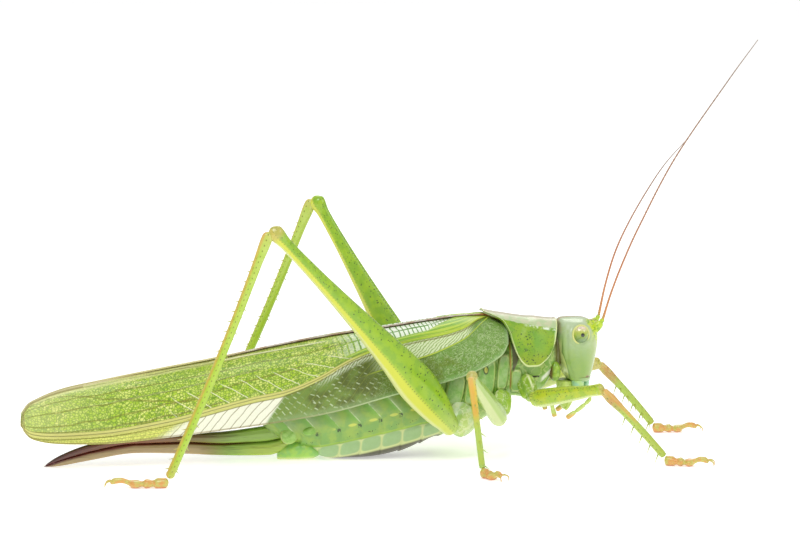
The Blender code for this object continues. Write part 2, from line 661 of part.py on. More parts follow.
# Share of the way along the tarsus: lowest height, highest height, half width. The pads lie on the
# floor, and the last joint arches up from them to the claws.
TARSUS = ((0.0, 0.2, 0.95, 0.42), (0.08, 0.0, 1.05, 0.5), (0.2, 0.0, 1.0, 0.58), (0.27, 0.15, 0.8, 0.42),
          (0.38, 0.0, 0.9, 0.6), (0.45, 0.15, 0.7, 0.42), (0.55, 0.0, 0.8, 0.74), (0.63, 0.05, 0.8, 0.6),
          (0.69, 0.3, 0.85, 0.3), (0.81, 0.5, 1.05, 0.27), (0.93, 0.4, 1.0, 0.3), (1.0, 0.3, 0.8, 0.3))
TARSUS_SWELL = 0.54
CLAW_SPREAD, CLAW_REACH, CLAW_RADIUS = 0.6, 0.75, 0.24
CLAW_ROOT_SHARE, CLAW_ROOT_HEIGHT, CLAW_TIP_HEIGHT = 0.97, 0.55, 0.05

# Rows of spines: how many, first and last share of the tibia, turn away from its upper side in
# degrees, length, and how far they lean to the foot.
HIND_SPINES = ((12, 0.12, 0.94, 32, 0.6, 0.6), (12, 0.15, 0.96, -32, 0.6, 0.6),
               (4, 0.45, 0.96, 165, 0.5, 0.5), (4, 0.5, 0.93, -165, 0.5, 0.5))
MID_SPINES = ((5, 0.25, 0.96, 150, 1.0, 0.6), (5, 0.3, 0.93, -150, 1.0, 0.6), (3, 0.3, 0.7, 20, 0.7, 0.6))
FRONT_SPINES = ((6, 0.3, 0.96, 150, 1.3, 0.6), (6, 0.34, 0.93, -150, 1.3, 0.6))
SPINE_RADIUS, SPINE_CLEARANCE = 0.24, 0.15
# A spine starts this far off the shin's middle, and as much longer as it takes to come out of it.
SPINE_START, SPINE_SUNK = 0.12, 0.5
# The tibia hangs in the fork of the knee: this far past the femur's end, and to its lower side.
KNEE_AHEAD, KNEE_BELOW = 0.2, {"hind": 0.45, "mid": 0.2, "front": 0.2}
TIBIA_BOW = {"hind": -0.3, "mid": -0.1, "front": 0.15}

# Points of each leg, animal's right side first: hip, trochanter, knee, ankle, claws.
LEGS = {
    "hind": {
        "right": ((13.4, -2.6, 5.3), (11.4, -4.5, 3.1), (-9.2, -12.0, 26.1), (-20.0, -13.4, 1.0),
                  (-25.8, -12.1, 0.4)),
        "left": ((13.1, 2.6, 5.3), (10.7, 5.2, 3.1), (-0.8, 11.0, 26.4), (-11.3, 14.3, 1.0),
                 (-17.6, 15.1, 0.4)),
    },
    "mid": {
        "right": ((17.0, -2.2, 7.0), (16.5, -3.5, 4.1), (11.5, -12.0, 10.4), (12.3, -14.1, 0.95),
                  (13.7, -16.5, 0.4)),
        "left": ((17.0, 2.2, 7.0), (16.5, 3.5, 4.1), (12.6, 12.0, 10.2), (13.6, 14.6, 0.95),
                 (15.2, 17.0, 0.4)),
    },
    "front": {
        "right": ((19.3, -2.2, 8.4), (19.9, -4.0, 6.2), (25.7, -11.2, 8.3), (32.3, -11.2, 1.0),
                  (36.7, -12.7, 0.4)),
        "left": ((19.3, 2.2, 8.4), (20.1, 4.0, 6.2), (30.1, 8.0, 7.9), (35.9, 7.6, 1.0),
                 (40.8, 7.2, 0.4)),
    },
}
COXA_RADII = {"hind": (1.6, 1.7, 1.2), "mid": (1.25, 1.3, 0.85), "front": (1.1, 1.2, 0.9)}
FEMUR_TABLES = {"hind": HIND_FEMUR, "mid": SHORT_FEMUR, "front": SHORT_FEMUR}
TIBIA_TABLES = {"hind": HIND_TIBIA, "mid": MID_TIBIA, "front": FRONT_TIBIA}
SPINE_TABLES = {"hind": HIND_SPINES, "mid": MID_SPINES, "front": FRONT_SPINES}


def table_stations(start, end, table, bow=Vector()):
    """Stations of a table along a line, bowed sideways at its middle."""
    stations = []
    for share, *sizes in table:
        stations.append((start.lerp(end, share) + bow * math.sin(math.pi * share), *sizes))
    return stations


def spines(start, end, plane, table, bow):
    """Thorns in rows along a tibia, each leaning to the foot, with its root at the tibia's middle."""
    along = (end - start).normalized()
    over = along.cross(plane).normalized()
    across = over.cross(along).normalized()
    made = []
    for count, first, last, degrees, length, lean in table:
        turn = math.radians(degrees)
        outward = over * math.cos(turn) + across * math.sin(turn)
        for share in spread(first, last, count):
            root = start.lerp(end, share) + bow * math.sin(math.pi * share) + outward * SPINE_START
            tip = root + (outward + along * lean).normalized() * (length + SPINE_SUNK)
            tip.z = max(tip.z, SPINE_CLEARANCE)
            made.append(thorn(root, tip, SPINE_RADIUS))
    return made


def tarsus(name, ankle, claw):
    """The foot: pads in a row, flat below on the floor, a slender last joint and two claws."""
    ahead = Vector((claw.x - ankle.x, claw.y - ankle.y, 0.0))
    across = Vector((-ahead.y, ahead.x, 0.0)).normalized()
    rings = []
    heel = Vector((ankle.x, ankle.y, 0.0))
    for share, low, high, half in TARSUS:
        ring = []
        for k in range(8):
            turn = 2 * math.pi * (k + 0.5) / 8
            height = (low + high) / 2 + (high - low) * TARSUS_SWELL * math.sin(turn)
            place = heel + ahead * share + across * math.cos(turn) * half
            place.z = max(height, 0.0)
            ring.append(place)
        rings.append(ring)
    foot = loft(name, rings, "foot_orange")
    end = heel + ahead * CLAW_ROOT_SHARE
    end.z = CLAW_ROOT_HEIGHT
    claws = []
    for sign in (-1, 1):
        tip = end + ahead.normalized() * CLAW_REACH + across * sign * CLAW_SPREAD
        tip.z = CLAW_TIP_HEIGHT
        claws.append(thorn(end, tip, CLAW_RADIUS))
    return boolean(foot, claws, "UNION")


def leg(kind, side, parts):
    hip, trochanter, knee, ankle, claw = (Vector(p) for p in LEGS[kind][side])
    plane = (knee - trochanter).cross(ankle - knee).normalized()
    name = f"{kind}_{{}}_{side}"
    points = [hip, hip.lerp(trochanter, 0.5), trochanter]
    coxa = limb(name.format("coxa"), round_stations(points, COXA_RADII[kind]), plane, "pale_green", 9)
    clear_of(coxa, *parts.values())
    stations = table_stations(trochanter, knee, FEMUR_TABLES[kind])
    femur = limb(name.format("femur"), stations, plane, "leg_green", 10)
    clear_of(femur, coxa, *parts.values())
    along = (knee - trochanter).normalized()
    fork = knee + along * KNEE_AHEAD - along.cross(plane) * KNEE_BELOW[kind]
    bow = (ankle - fork).normalized().cross(plane) * TIBIA_BOW[kind]
    stations = table_stations(fork, ankle, TIBIA_TABLES[kind], bow)
    tibia = limb(name.format("tibia"), stations, plane, "leg_green", 8)
    boolean(tibia, spines(fork, ankle, plane, SPINE_TABLES[kind], bow), "UNION")
    clear_of(tibia, femur)
    foot = tarsus(name.format("tarsus"), ankle, claw)
    clear_of(foot, tibia)


def build():
    parts = build_trunk()
    build_tail(parts)
    build_head(parts)
    shield = pronotum()
    for side, _ in SIDES:
        antenna(side)
    clear_of(tegmen("tegmen_right", -1, UNDERLAP), shield)
    clear_of(tegmen("tegmen_left", 1, 0.0), shield)
    for side, sign in SIDES:
        hindwing(f"hindwing_{side}", sign)
    parts["pronotum"] = shield
    for kind in LEGS:
        for side, _ in SIDES:
            leg(kind, side, parts)


def settle():
    """Shrinks the meshes to metres and centres them over the origin, standing on the floor."""
    corners = [v.co for made in bpy.data.objects for v in made.data.vertices]
    middle = [(min(c[i] for c in corners) + max(c[i] for c in corners)) / 2 for i in range(2)]
    floor = min(c.z for c in corners)
    for made in bpy.data.objects:
        made.data.transform(Matrix.Scale(MM, 4) @ Matrix.Translation((-middle[0], -middle[1], -floor)))


for old in list(bpy.data.objects):
    bpy.data.objects.remove(old)
build()
settle()
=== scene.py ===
import math

import bpy
from mathutils import Matrix, Quaternion, Vector


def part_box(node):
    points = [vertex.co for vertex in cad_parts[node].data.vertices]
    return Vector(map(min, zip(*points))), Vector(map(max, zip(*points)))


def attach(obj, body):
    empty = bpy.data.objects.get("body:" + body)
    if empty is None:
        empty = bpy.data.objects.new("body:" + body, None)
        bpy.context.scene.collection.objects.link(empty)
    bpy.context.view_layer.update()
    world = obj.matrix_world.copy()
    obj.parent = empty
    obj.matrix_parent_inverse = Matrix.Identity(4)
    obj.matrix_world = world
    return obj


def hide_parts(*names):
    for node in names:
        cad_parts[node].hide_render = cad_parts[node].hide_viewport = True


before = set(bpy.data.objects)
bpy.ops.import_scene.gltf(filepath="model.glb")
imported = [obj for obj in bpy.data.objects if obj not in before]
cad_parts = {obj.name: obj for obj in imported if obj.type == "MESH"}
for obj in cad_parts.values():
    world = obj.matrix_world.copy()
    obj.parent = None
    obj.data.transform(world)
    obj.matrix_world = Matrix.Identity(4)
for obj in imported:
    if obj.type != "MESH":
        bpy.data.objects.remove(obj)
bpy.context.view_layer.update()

# The studio. The model stands on a pale floor in front of the same pale ground, in soft light from
# broad panels, and is seen from its right side, from a little above and behind.

MM = 0.001
FRAME_WIDTH = 36.0
LENS = 180.0
VIEW_TARGET = (6.44, 0.0, 20.1)
VIEW_AZIMUTH, VIEW_HEIGHT, VIEW_DISTANCE = -11.0, 8.0, 420.0
EYE_MIDDLE = (25.55, 2.35, 12.75)

# Sizes are in millimetres from the point where the belly touches the floor. The eye says where
# that point lies in the room.
eye_low, eye_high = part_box("eye_right")
HOME = (eye_low + eye_high) / 2 - Vector((EYE_MIDDLE[0], -EYE_MIDDLE[1], EYE_MIDDLE[2])) * MM


def at(point):
    """A place in the room, in metres, for a place on the animal in millimetres."""
    return Vector(point) * MM + HOME


def tint(red, green, blue):
    """A colour as it looks on a screen, from 0 to 255, for a shader."""
    parts = [value / 255 for value in (red, green, blue)]
    return (*[p / 12.92 if p <= 0.04045 else ((p + 0.055) / 1.055) ** 2.4 for p in parts], 1.0)


class Paint:
    """A material mixed step by step. Each step gives the socket that carries its result."""

    def __init__(self, name, roughness, coat=0.0, specular=0.5):
        self.material = bpy.data.materials.new(name)
        self.material.use_nodes = True
        self.tree = self.material.node_tree
        self.shader = self.tree.nodes["Principled BSDF"]
        self.shader.inputs["Roughness"].default_value = roughness
        self.shader.inputs["Coat Weight"].default_value = coat
        self.shader.inputs["Coat Roughness"].default_value = 0.18
        self.shader.inputs["Specular IOR Level"].default_value = specular
        room = self.step("TexCoord", {}, "Object")
        moved = self.step("VectorMath", {0: room, 1: HOME}, operation="SUBTRACT")
        self.place = self.step("VectorMath", {0: moved, "Scale": 1 / MM}, operation="SCALE")
        parts = self.step("SeparateXYZ", {0: self.place}, None)
        self.x, self.y, self.z = parts[0], parts[1], parts[2]

    def step(self, kind, inputs, out=0, **settings):
        node = self.tree.nodes.new("ShaderNode" + kind)
        for key, value in settings.items():
            setattr(node, key, value)
        for key, value in inputs.items():
            if isinstance(value, bpy.types.NodeSocket):
                self.tree.links.new(value, node.inputs[key])
            else:
                node.inputs[key].default_value = value
        return node.outputs if out is None else node.outputs[out]

    def maths(self, operation, first, second=0.0, third=0.0):
        return self.step("Math", {0: first, 1: second, 2: third}, operation=operation)

    def plus(self, first, second):
        return self.maths("ADD", first, second)

    def minus(self, first, second):
        return self.maths("SUBTRACT", first, second)

    def times(self, first, second):
        return self.maths("MULTIPLY", first, second)

    def ratio(self, first, second):
        return self.maths("DIVIDE", first, second)

    def most(self, first, second):
        return self.maths("MAXIMUM", first, second)

    def power(self, value, exponent):
        return self.maths("POWER", value, exponent)

    def absolute(self, value):
        return self.maths("ABSOLUTE", value)

    def fract(self, value):
        return self.maths("FRACT", value)

    def oval(self, across, up, exponent=2.0):
        """How far a place is from an oval's middle: 1 at its edge. A higher exponent squares it."""
        return self.maths("SQRT", self.plus(self.power(across, exponent), self.power(up, exponent)))

    def distance(self, place, middle):
        return self.step("VectorMath", {0: place, 1: middle}, "Value", operation="DISTANCE")

    def slide(self, value, low, high, start, end):
        """Runs evenly from start to end while a value goes from low to high."""
        return self.step("MapRange", {0: value, 1: low, 2: high, 3: start, 4: end})

    def rise(self, value, low, high):
        """0 below low and 1 above high, smoothly between them, or the reverse where low is above high."""
        first, second, start, end = (low, high, 0.0, 1.0) if low < high else (high, low, 1.0, 0.0)
        return self.step(
            "MapRange", {0: value, 1: first, 2: second, 3: start, 4: end}, interpolation_type="SMOOTHSTEP"
        )

    def line(self, value, middle, half, soft):
        """1 within half of a middle value, fading to 0 over soft on both sides."""
        away = self.absolute(self.minus(value, middle))
        return self.rise(away, half + soft, half)

    def noise(self, scale, detail=3.0, place=None, roughness=0.55):
        spot = self.place if place is None else place
        inputs = {"Vector": spot, "Scale": scale, "Detail": detail, "Roughness": roughness}
        return self.step("TexNoise", inputs)

    def cells(self, scale, out="Distance", place=None, spread=1.0, feature="F1"):
        spot = self.place if place is None else place
        inputs = {"Vector": spot, "Scale": scale, "Randomness": spread}
        return self.step("TexVoronoi", inputs, out, feature=feature)

    def join(self, x, y, z=0.0):
        return self.step("CombineXYZ", {0: x, 1: y, 2: z})

    def chart(self, name):
        """The two coordinates of one of the piece's own UV maps."""
        parts = self.step("SeparateXYZ", {0: self.step("UVMap", {}, uv_map=name)}, None)
        return parts[0], parts[1]

    def mix(self, share, first, second, blend="MIX"):
        return self.step("Mix", {0: share, 6: first, 7: second}, 2, data_type="RGBA", blend_type=blend)

    def layer(self, colour, share, amount, second):
        """A colour with an amount of a second one laid over it by a share."""
        return self.mix(self.times(share, amount), colour, second)

    def ramp(self, value, *stops):
        """A colour for a value, through stops of (value, colour)."""
        made = self.tree.nodes.new("ShaderNodeValToRGB")
        self.tree.links.new(value, made.inputs[0])
        elements = made.color_ramp.elements
        elements[0].position, elements[0].color = stops[0]
        elements[1].position, elements[1].color = stops[-1]
        for position, colour in stops[1:-1]:
            elements.new(position).color = colour
        return made.outputs[0]

    def finish(self, colour, height=None, strength=0.3, distance=0.05, roughness=None, alpha=None):
        """Sets the shader's colour, its bumps from a height and, where they vary, its gloss and clearness."""
        links = {"Base Color": colour, "Roughness": roughness, "Alpha": alpha}
        if height is not None:
            bump = {"Strength": strength, "Distance": distance * MM, "Height": height}
            links["Normal"] = self.step("Bump", bump)
        for name, socket in links.items():
            if socket is not None:
                self.tree.links.new(socket, self.shader.inputs[name])
        return self.material


bpy.ops.object.select_all(action="DESELECT")
bpy.ops.mesh.primitive_plane_add(size=6.0, location=(0.0, 0.0, 0.0))
floor = bpy.context.object
floor.name = "studio_floor"
card = Paint("white_card", 0.9, specular=0.1)
card.shader.inputs["Emission Color"].default_value = (1.0, 1.0, 1.0, 1.0)
card.shader.inputs["Emission Strength"].default_value = 0.42
card_grain = card.noise(0.02)
floor.data.materials.append(card.finish(card.mix(card_grain, tint(246, 246, 246), tint(252, 252, 252))))

world = bpy.data.worlds.new("pale_studio")
world.use_nodes = True
world.node_tree.nodes["Background"].inputs["Color"].default_value = (1.0, 1.0, 1.0, 1.0)
world.node_tree.nodes["Background"].inputs["Strength"].default_value = 0.6
bpy.context.scene.world = world
bpy.context.scene.view_settings.view_transform = "Standard"

PANELS = (
    ("key_panel", (-90.0, -210.0, 330.0), 150.0, 0.55),
    ("back_panel", (60.0, 260.0, 300.0), 200.0, 0.4),
    ("side_panel", (260.0, -150.0, 180.0), 120.0, 0.14),
)
for panel_name, panel_place, panel_size, panel_power in PANELS:
    aim = (Vector(VIEW_TARGET) - Vector(panel_place)).to_track_quat("-Z", "Y").to_euler()
    bpy.ops.object.light_add(type="AREA", location=at(panel_place), rotation=aim)
    panel = bpy.context.object
    panel.name = panel_name
    panel.data.shape = "SQUARE"
    panel.data.size = panel_size * MM
    panel.data.energy = panel_power

azimuth, height = math.radians(VIEW_AZIMUTH), math.radians(VIEW_HEIGHT)
view_back = Vector((
    math.sin(azimuth) * math.cos(height), -math.cos(azimuth) * math.cos(height), math.sin(height)
))
camera_place = at(Vector(VIEW_TARGET) + view_back * VIEW_DISTANCE)
bpy.ops.object.camera_add(location=camera_place, rotation=(math.pi / 2 - height, 0.0, azimuth))
camera = bpy.context.object
camera.name = "photo_camera"
camera.data.sensor_width = FRAME_WIDTH
camera.data.lens = LENS
camera.data.clip_start = 0.01
camera.data.dof.use_dof = False
bpy.context.scene.camera = camera

# The head: a tall smooth capsule of green horn. Its cheek ends behind in a pale raised rim, a seam
# parts off the lip below the face, and the narrow crown stands between the sockets of the feelers.

# Height: back of the head, front of the face, half width.
HEAD = (
    (7.25, 25.3, 26.1, 0.7), (7.5, 24.7, 26.75, 1.8), (8.2, 24.15, 27.0, 2.3), (9.4, 23.5, 27.3, 2.65),
    (10.8, 23.2, 27.58, 2.8), (12.0, 23.1, 27.7, 2.75), (12.9, 23.15, 27.7, 2.6), (13.5, 23.3, 27.35, 2.25),
    (14.0, 23.5, 26.75, 1.6), (14.2, 23.9, 26.2, 0.95), (14.28, 24.6, 25.7, 0.3),
)
FACE_CURVE, BACK_CURVE, CHEEK_CURVE = 0.85, 0.5, 0.9
CHEEK_RIM_WIDTH, CHEEK_RIM_RISE, CHEEK_GROOVE = 0.36, 0.07, 0.05
LIP_SEAM_HEIGHT = 8.3
CROWN_MIDDLE, CROWN_SIZE = (27.1, 0.0, 13.45), (0.75, 0.4, 0.5)
SOCKET_RADIUS, SOCKET_THICKNESS, SOCKET_SHARE = 0.56, 0.13, 0.12
BRIGHT_MIDDLE = (27.15, 1.1, 12.9)
SCAPE_ROOT = (26.9, 1.05, 12.75)
SCAPE_ENDS = {"right": (27.95, 1.3, 13.75), "left": (28.15, 1.3, 13.7)}
SIDES = (("right", -1), ("left", 1))
SEAM = 1e-7


def between(table, place):
    """Reads a table of (place, value, ...) rows at a place, smoothly, without overshoot."""
    rows = sorted(table)
    if place <= rows[0][0]:
        return list(rows[0][1:])
    if place >= rows[-1][0]:
        return list(rows[-1][1:])
    k = max(i for i, row in enumerate(rows) if row[0] <= place)
    low, high = rows[k], rows[k + 1]
    span = high[0] - low[0]
    t = (place - low[0]) / span
    t2, t3 = t * t, t * t * t
    values = []
    for c in range(1, len(low)):
        slope = (high[c] - low[c]) / span
        before = slope
        if k > 0:
            before = (low[c] - rows[k - 1][c]) / (low[0] - rows[k - 1][0])
        after = slope
        if k + 2 < len(rows):
            after = (rows[k + 2][c] - high[c]) / (rows[k + 2][0] - high[0])
        m0 = (before + slope) / 2 if before * slope > 0 else 0.0
        m1 = (slope + after) / 2 if slope * after > 0 else 0.0
        m0, m1 = (math.copysign(min(abs(m), 3 * abs(slope)), m) for m in (m0, m1))
        start = (2 * t3 - 3 * t2 + 1) * low[c] + (t3 - 2 * t2 + t) * span * m0
        values.append(start + (3 * t2 - 2 * t3) * high[c] + (t3 - t2) * span * m1)
    return values


def power(value, exponent):
    """A value to an exponent, keeping its sign."""
    return math.copysign(abs(value) ** exponent, value)


def clamp(value):
    return min(max(value, 0.0), 1.0)


def dome(share):
    """Rounds an end off: 0 at the end, and 1 from a share of 1 on."""
    return math.sqrt(max(1 - (1 - share) ** 2, 0.0))


def hump(value, middle, half):
    """A smooth hump: 1 at a middle value, 0 beyond half on either side."""
    away = abs(value - middle) / half
    return (1 - away * away) ** 2 if away < 1 else 0.0


def mirrored(point, sign):
    return Vector((point[0], point[1] * sign, point[2]))


def rolled(name, along, around, place, tube=True):
    """A skin of along by around faces, from a grid. place(u, v) says where each of its points goes,
    u along the piece and v round it. A tube's two long edges are merged."""
    bpy.ops.object.select_all(action="DESELECT")
    bpy.ops.mesh.primitive_grid_add(x_subdivisions=along, y_subdivisions=around, size=1.0)
    piece = bpy.context.object
    piece.name = piece.data.name = name
    for vertex in piece.data.vertices:
        vertex.co = at(place(vertex.co.x + 0.5, vertex.co.y + 0.5))
    if tube:
        bpy.ops.object.mode_set(mode="EDIT")
        bpy.ops.mesh.select_all(action="SELECT")
        bpy.ops.mesh.remove_doubles(threshold=SEAM)
        bpy.ops.mesh.normals_make_consistent(inside=False)
        bpy.ops.object.mode_set(mode="OBJECT")
    bpy.ops.object.shade_smooth()
    return piece


def placed(name, placing):
    """The form just added, named, moved to its place in its mesh and smoothed."""
    piece = bpy.context.object
    piece.name = piece.data.name = name
    piece.data.transform(placing)
    bpy.ops.object.shade_smooth()
    return piece


def ball(name, middle, size, segments=32, rings=20, turn=None):
    """A round form at its place and size, from a sphere."""
    bpy.ops.object.select_all(action="DESELECT")
    bpy.ops.mesh.primitive_uv_sphere_add(segments=segments, ring_count=rings, radius=MM)
    spin = Matrix() if turn is None else turn.to_matrix().to_4x4()
    return placed(name, Matrix.Translation(at(middle)) @ spin @ Matrix.Diagonal((*size, 1.0)))


def hoop(name, middle, facing, radius, thickness, stretch=1.0, segments=48):
    """A rounded ring at its place, facing a direction."""
    bpy.ops.object.select_all(action="DESELECT")
    bpy.ops.mesh.primitive_torus_add(
        major_radius=radius * MM, minor_radius=thickness * MM, major_segments=segments, minor_segments=12
    )
    turn = Vector(facing).to_track_quat("Z", "Y").to_matrix().to_4x4()
    return placed(name, Matrix.Translation(at(middle)) @ turn @ Matrix.Diagonal((1.0, stretch, 1.0, 1.0)))


def joined(name, pieces):
    """Several forms joined into one piece with a name of its own."""
    bpy.ops.object.select_all(action="DESELECT")
    for piece in pieces:
        piece.select_set(True)
    bpy.context.view_layer.objects.active = pieces[0]
    bpy.ops.object.join()
    pieces[0].name = pieces[0].data.name = name
    return pieces[0]


def mount(piece, slot, material, *nodes):
    """Puts a finished piece on the body, in place of its solids."""
    if material is not None:
        piece.data.materials.clear()
        piece.data.materials.append(material)
    if nodes:
        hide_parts(*nodes)
    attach(piece, "root")
    return piece


def head_skin(u, v):
    bottom, top = HEAD[0][0], HEAD[-1][0]
    z = (bottom + top) / 2 - math.cos(math.pi * u) * (top - bottom) / 2
    back, front, half = between(HEAD, z)
    if u in (0.0, 1.0):
        half, back, front = 0.0, (back + front) / 2, (back + front) / 2
    turn = 2 * math.pi * v
    middle, reach = (back + front) / 2, (front - back) / 2
    curve = FACE_CURVE if math.cos(turn) > 0 else BACK_CURVE
    x, y = middle + reach * power(math.cos(turn), curve), half * power(math.sin(turn), CHEEK_CURVE)
    swell = 0.0
    from_back = x - back
    rim = clamp((z - 7.9) / 0.9) * clamp((13.2 - z) / 0.8)
    width = CHEEK_RIM_WIDTH * (0.35 + 0.65 * clamp((z - 7.8) / 3.2)) + 0.35
    swell += CHEEK_RIM_RISE * rim * clamp((width - from_back) / 0.18)
    swell -= CHEEK_GROOVE * rim * hump(from_back, width + 0.1, 0.16)
    if x > middle - 0.4:
        swell -= 0.07 * hump(z, LIP_SEAM_HEIGHT - 0.12 * abs(y), 0.1)
    eye_away = math.hypot((x - EYE_MIDDLE[0] + 0.17) / 0.95, (z - EYE_MIDDLE[2] + 0.07) / 1.05)
    swell += 0.12 * hump(eye_away, 1.08, 0.42) * clamp((abs(y) - 1.2) / 0.5)
    swell += 0.1 * hump(z, 10.2, 1.6) * hump(abs(y), 2.4, 1.0) * clamp((26.6 - x) / 1.0)
    out = Vector(((x - middle) / max(reach, 0.1), y / max(half, 0.1), 0.0))
    if out.length > 0:
        out.normalize()
    return Vector((x, y, z)) + out * swell


head = rolled("head_capsule", 120, 144, head_skin)
crown = ball("crown", CROWN_MIDDLE, CROWN_SIZE)
sockets = []
for side, sign in SIDES:
    direction = mirrored(Vector(SCAPE_ENDS[side]) - Vector(SCAPE_ROOT), sign)
    socket_place = mirrored(Vector(SCAPE_ROOT).lerp(Vector(SCAPE_ENDS[side]), SOCKET_SHARE), sign)
    sockets.append(hoop(f"socket_{side}", socket_place, direction, SOCKET_RADIUS, SOCKET_THICKNESS))
head = joined("head_capsule", [head, crown, *sockets])

horn = Paint("jade_horn", 0.3, coat=0.35)
up = horn.rise(horn.z, 9.0, 13.8)
front_share = horn.rise(horn.x, 25.6, 27.8)
cheek = horn.mix(up, tint(142, 176, 88), tint(180, 198, 158))
cheek = horn.mix(horn.times(front_share, 0.5), cheek, tint(198, 206, 138))
mottle = horn.rise(horn.noise(1.1, 4.0), 0.42, 0.66)
cheek = horn.mix(horn.times(mottle, 0.4), cheek, tint(156, 182, 84))
# Painted shade: the back of the head is darker low down, where it meets the neck beside the saddle's front
# edge.
painted_back_shade = horn.times(horn.rise(horn.x, 24.3, 23.3), horn.rise(horn.z, 13.4, 12.2))
cheek = horn.mix(horn.times(painted_back_shade, 0.5), cheek, tint(130, 170, 74))
# The rim of the cheek is a thin cream cord, and a soft dark line parts it from the cheek.
slanted_back = horn.minus(horn.x, horn.times(horn.most(horn.minus(10.8, horn.z), 0.0), 0.34))
rim_share = horn.times(horn.rise(slanted_back, 23.46, 23.4), horn.rise(horn.z, 12.6, 11.4))
cheek = horn.mix(horn.times(rim_share, 0.85), cheek, tint(206, 216, 140))
edge_share = horn.times(horn.line(slanted_back, 23.48, 0.01, 0.07), horn.rise(horn.z, 12.2, 11.2))
cheek = horn.mix(horn.times(edge_share, 0.6), cheek, tint(92, 120, 50))
brown_back = horn.times(horn.rise(horn.x, 23.6, 23.35), horn.rise(horn.z, 12.4, 13.4))
cheek = horn.mix(horn.times(brown_back, 0.55), cheek, tint(196, 170, 120))
# Bright yellow-green round the sockets and the crown, mottled with darker flecks.
gap_to_socket = horn.distance(horn.join(horn.x, horn.absolute(horn.y), horn.z), BRIGHT_MIDDLE)
ragged = horn.plus(gap_to_socket, horn.times(horn.minus(horn.noise(1.8, 3.0), 0.5), 1.3))
socket_share = horn.rise(ragged, 1.6, 1.1)
flecks = horn.rise(horn.noise(3.2, 3.0), 0.5, 0.62)
socket_colour = horn.mix(flecks, tint(196, 216, 40), tint(120, 170, 30))
cheek = horn.mix(socket_share, cheek, socket_colour)
# A thin brown line runs along the top of the head, and a brown mark lies at the corner of the lip.
top_line = horn.times(horn.line(horn.y, 0.0, 0.1, 0.14), horn.rise(horn.z, 13.2, 13.7))
cheek = horn.mix(horn.times(top_line, 0.85), cheek, tint(186, 120, 66))
lip_line = horn.plus(horn.z, horn.times(horn.absolute(horn.y), 0.12))
lip_share = horn.times(horn.line(lip_line, LIP_SEAM_HEIGHT, 0.03, 0.07), horn.rise(horn.x, 25.4, 25.9))
cheek = horn.mix(horn.times(lip_share, 0.55), cheek, tint(120, 110, 50))
below_lip = horn.rise(lip_line, LIP_SEAM_HEIGHT, LIP_SEAM_HEIGHT - 0.15)
below_lip = horn.times(below_lip, horn.rise(horn.x, 25.2, 25.7))
cheek = horn.mix(horn.times(below_lip, 0.6), cheek, tint(160, 192, 140))
corner_height = horn.line(horn.z, LIP_SEAM_HEIGHT - 0.2, 0.06, 0.12)
corner_mark = horn.times(horn.line(horn.x, 26.25, 0.1, 0.18), corner_height)
cheek = horn.mix(horn.times(corner_mark, 0.75), cheek, tint(134, 92, 50))
horn_grain = horn.plus(horn.noise(9.0, 4.0), horn.times(horn.cells(7.0), 0.35))
head_horn = horn.finish(cheek, horn_grain, 0.12, 0.03)
mount(head, "head_skin", head_horn, "head")

# The eyes: polished domes of thousands of fine facets, each set in a cream ring. They are yellow-green in the
# middle, pale above with a pinkish painted highlight, grey-green below, with the black point that every such
# eye shows.

EYE_PLACE = (25.38, 2.35, 12.68)
EYE_SIZE = (0.88, 0.82, 0.98)
EYE_RING, EYE_RING_THICKNESS, EYE_RING_STRETCH = 0.88, 0.12, 1.12
POINT_PLACE = (0.08, 0.04)

eye_glass = Paint("faceted_eye", 0.08, coat=1.0)
eye_up = eye_glass.minus(eye_glass.z, EYE_PLACE[2])
eye_along = eye_glass.minus(eye_glass.x, EYE_PLACE[0])
# Painted highlight: the pale pinkish stop high on the dome stands in for the light the glossy eye reflects.
eye_colour = eye_glass.ramp(
    eye_glass.slide(eye_up, -1.1, 1.1, 0.0, 1.0),
    (0.0, tint(104, 132, 96)), (0.3, tint(120, 150, 88)), (0.48, tint(146, 172, 40)),
    (0.68, tint(188, 198, 92)), (0.86, tint(236, 214, 196)), (1.0, tint(214, 214, 160)),
)
eye_flecks = eye_glass.rise(eye_glass.noise(5.0, 4.0), 0.48, 0.7)
eye_colour = eye_glass.mix(eye_glass.times(eye_flecks, 0.35), eye_colour, tint(96, 120, 40))
point_away = eye_glass.oval(
    eye_glass.minus(eye_along, POINT_PLACE[0]), eye_glass.minus(eye_up, POINT_PLACE[1])
)
eye_colour = eye_glass.mix(eye_glass.rise(point_away, 0.27, 0.15), eye_colour, tint(12, 22, 14))
facets = eye_glass.cells(11.0, feature="DISTANCE_TO_EDGE", spread=0.35)
eye_material = eye_glass.finish(eye_colour, facets, 0.12, 0.02)
cream = Paint("cream_rim", 0.35, coat=0.3)
cream_colour = cream.mix(cream.noise(4.0), tint(226, 222, 150), tint(196, 206, 104))
cream_rim = cream.finish(cream_colour, cream.noise(12.0), 0.15, 0.03)

for side, sign in SIDES:
    eye = ball(f"eye_dome_{side}", mirrored(EYE_PLACE, sign), EYE_SIZE, 64, 40)
    mount(eye, "eye", eye_material, f"eye_{side}")
    ring_place = mirrored((EYE_PLACE[0], EYE_PLACE[1] + 0.28, EYE_PLACE[2] - 0.02), sign)
    ring = hoop(f"eye_ring_{side}", ring_place, mirrored((0.08, 1.0, 0.1), sign), EYE_RING,
                EYE_RING_THICKNESS, EYE_RING_STRETCH)
    mount(ring, "eye", cream_rim)

# The feelers: a thick first joint in the socket, a short ring on it, and a thread of some hundred
# fine rings, far longer than the head. The thread is brown-orange and fades towards its tip.

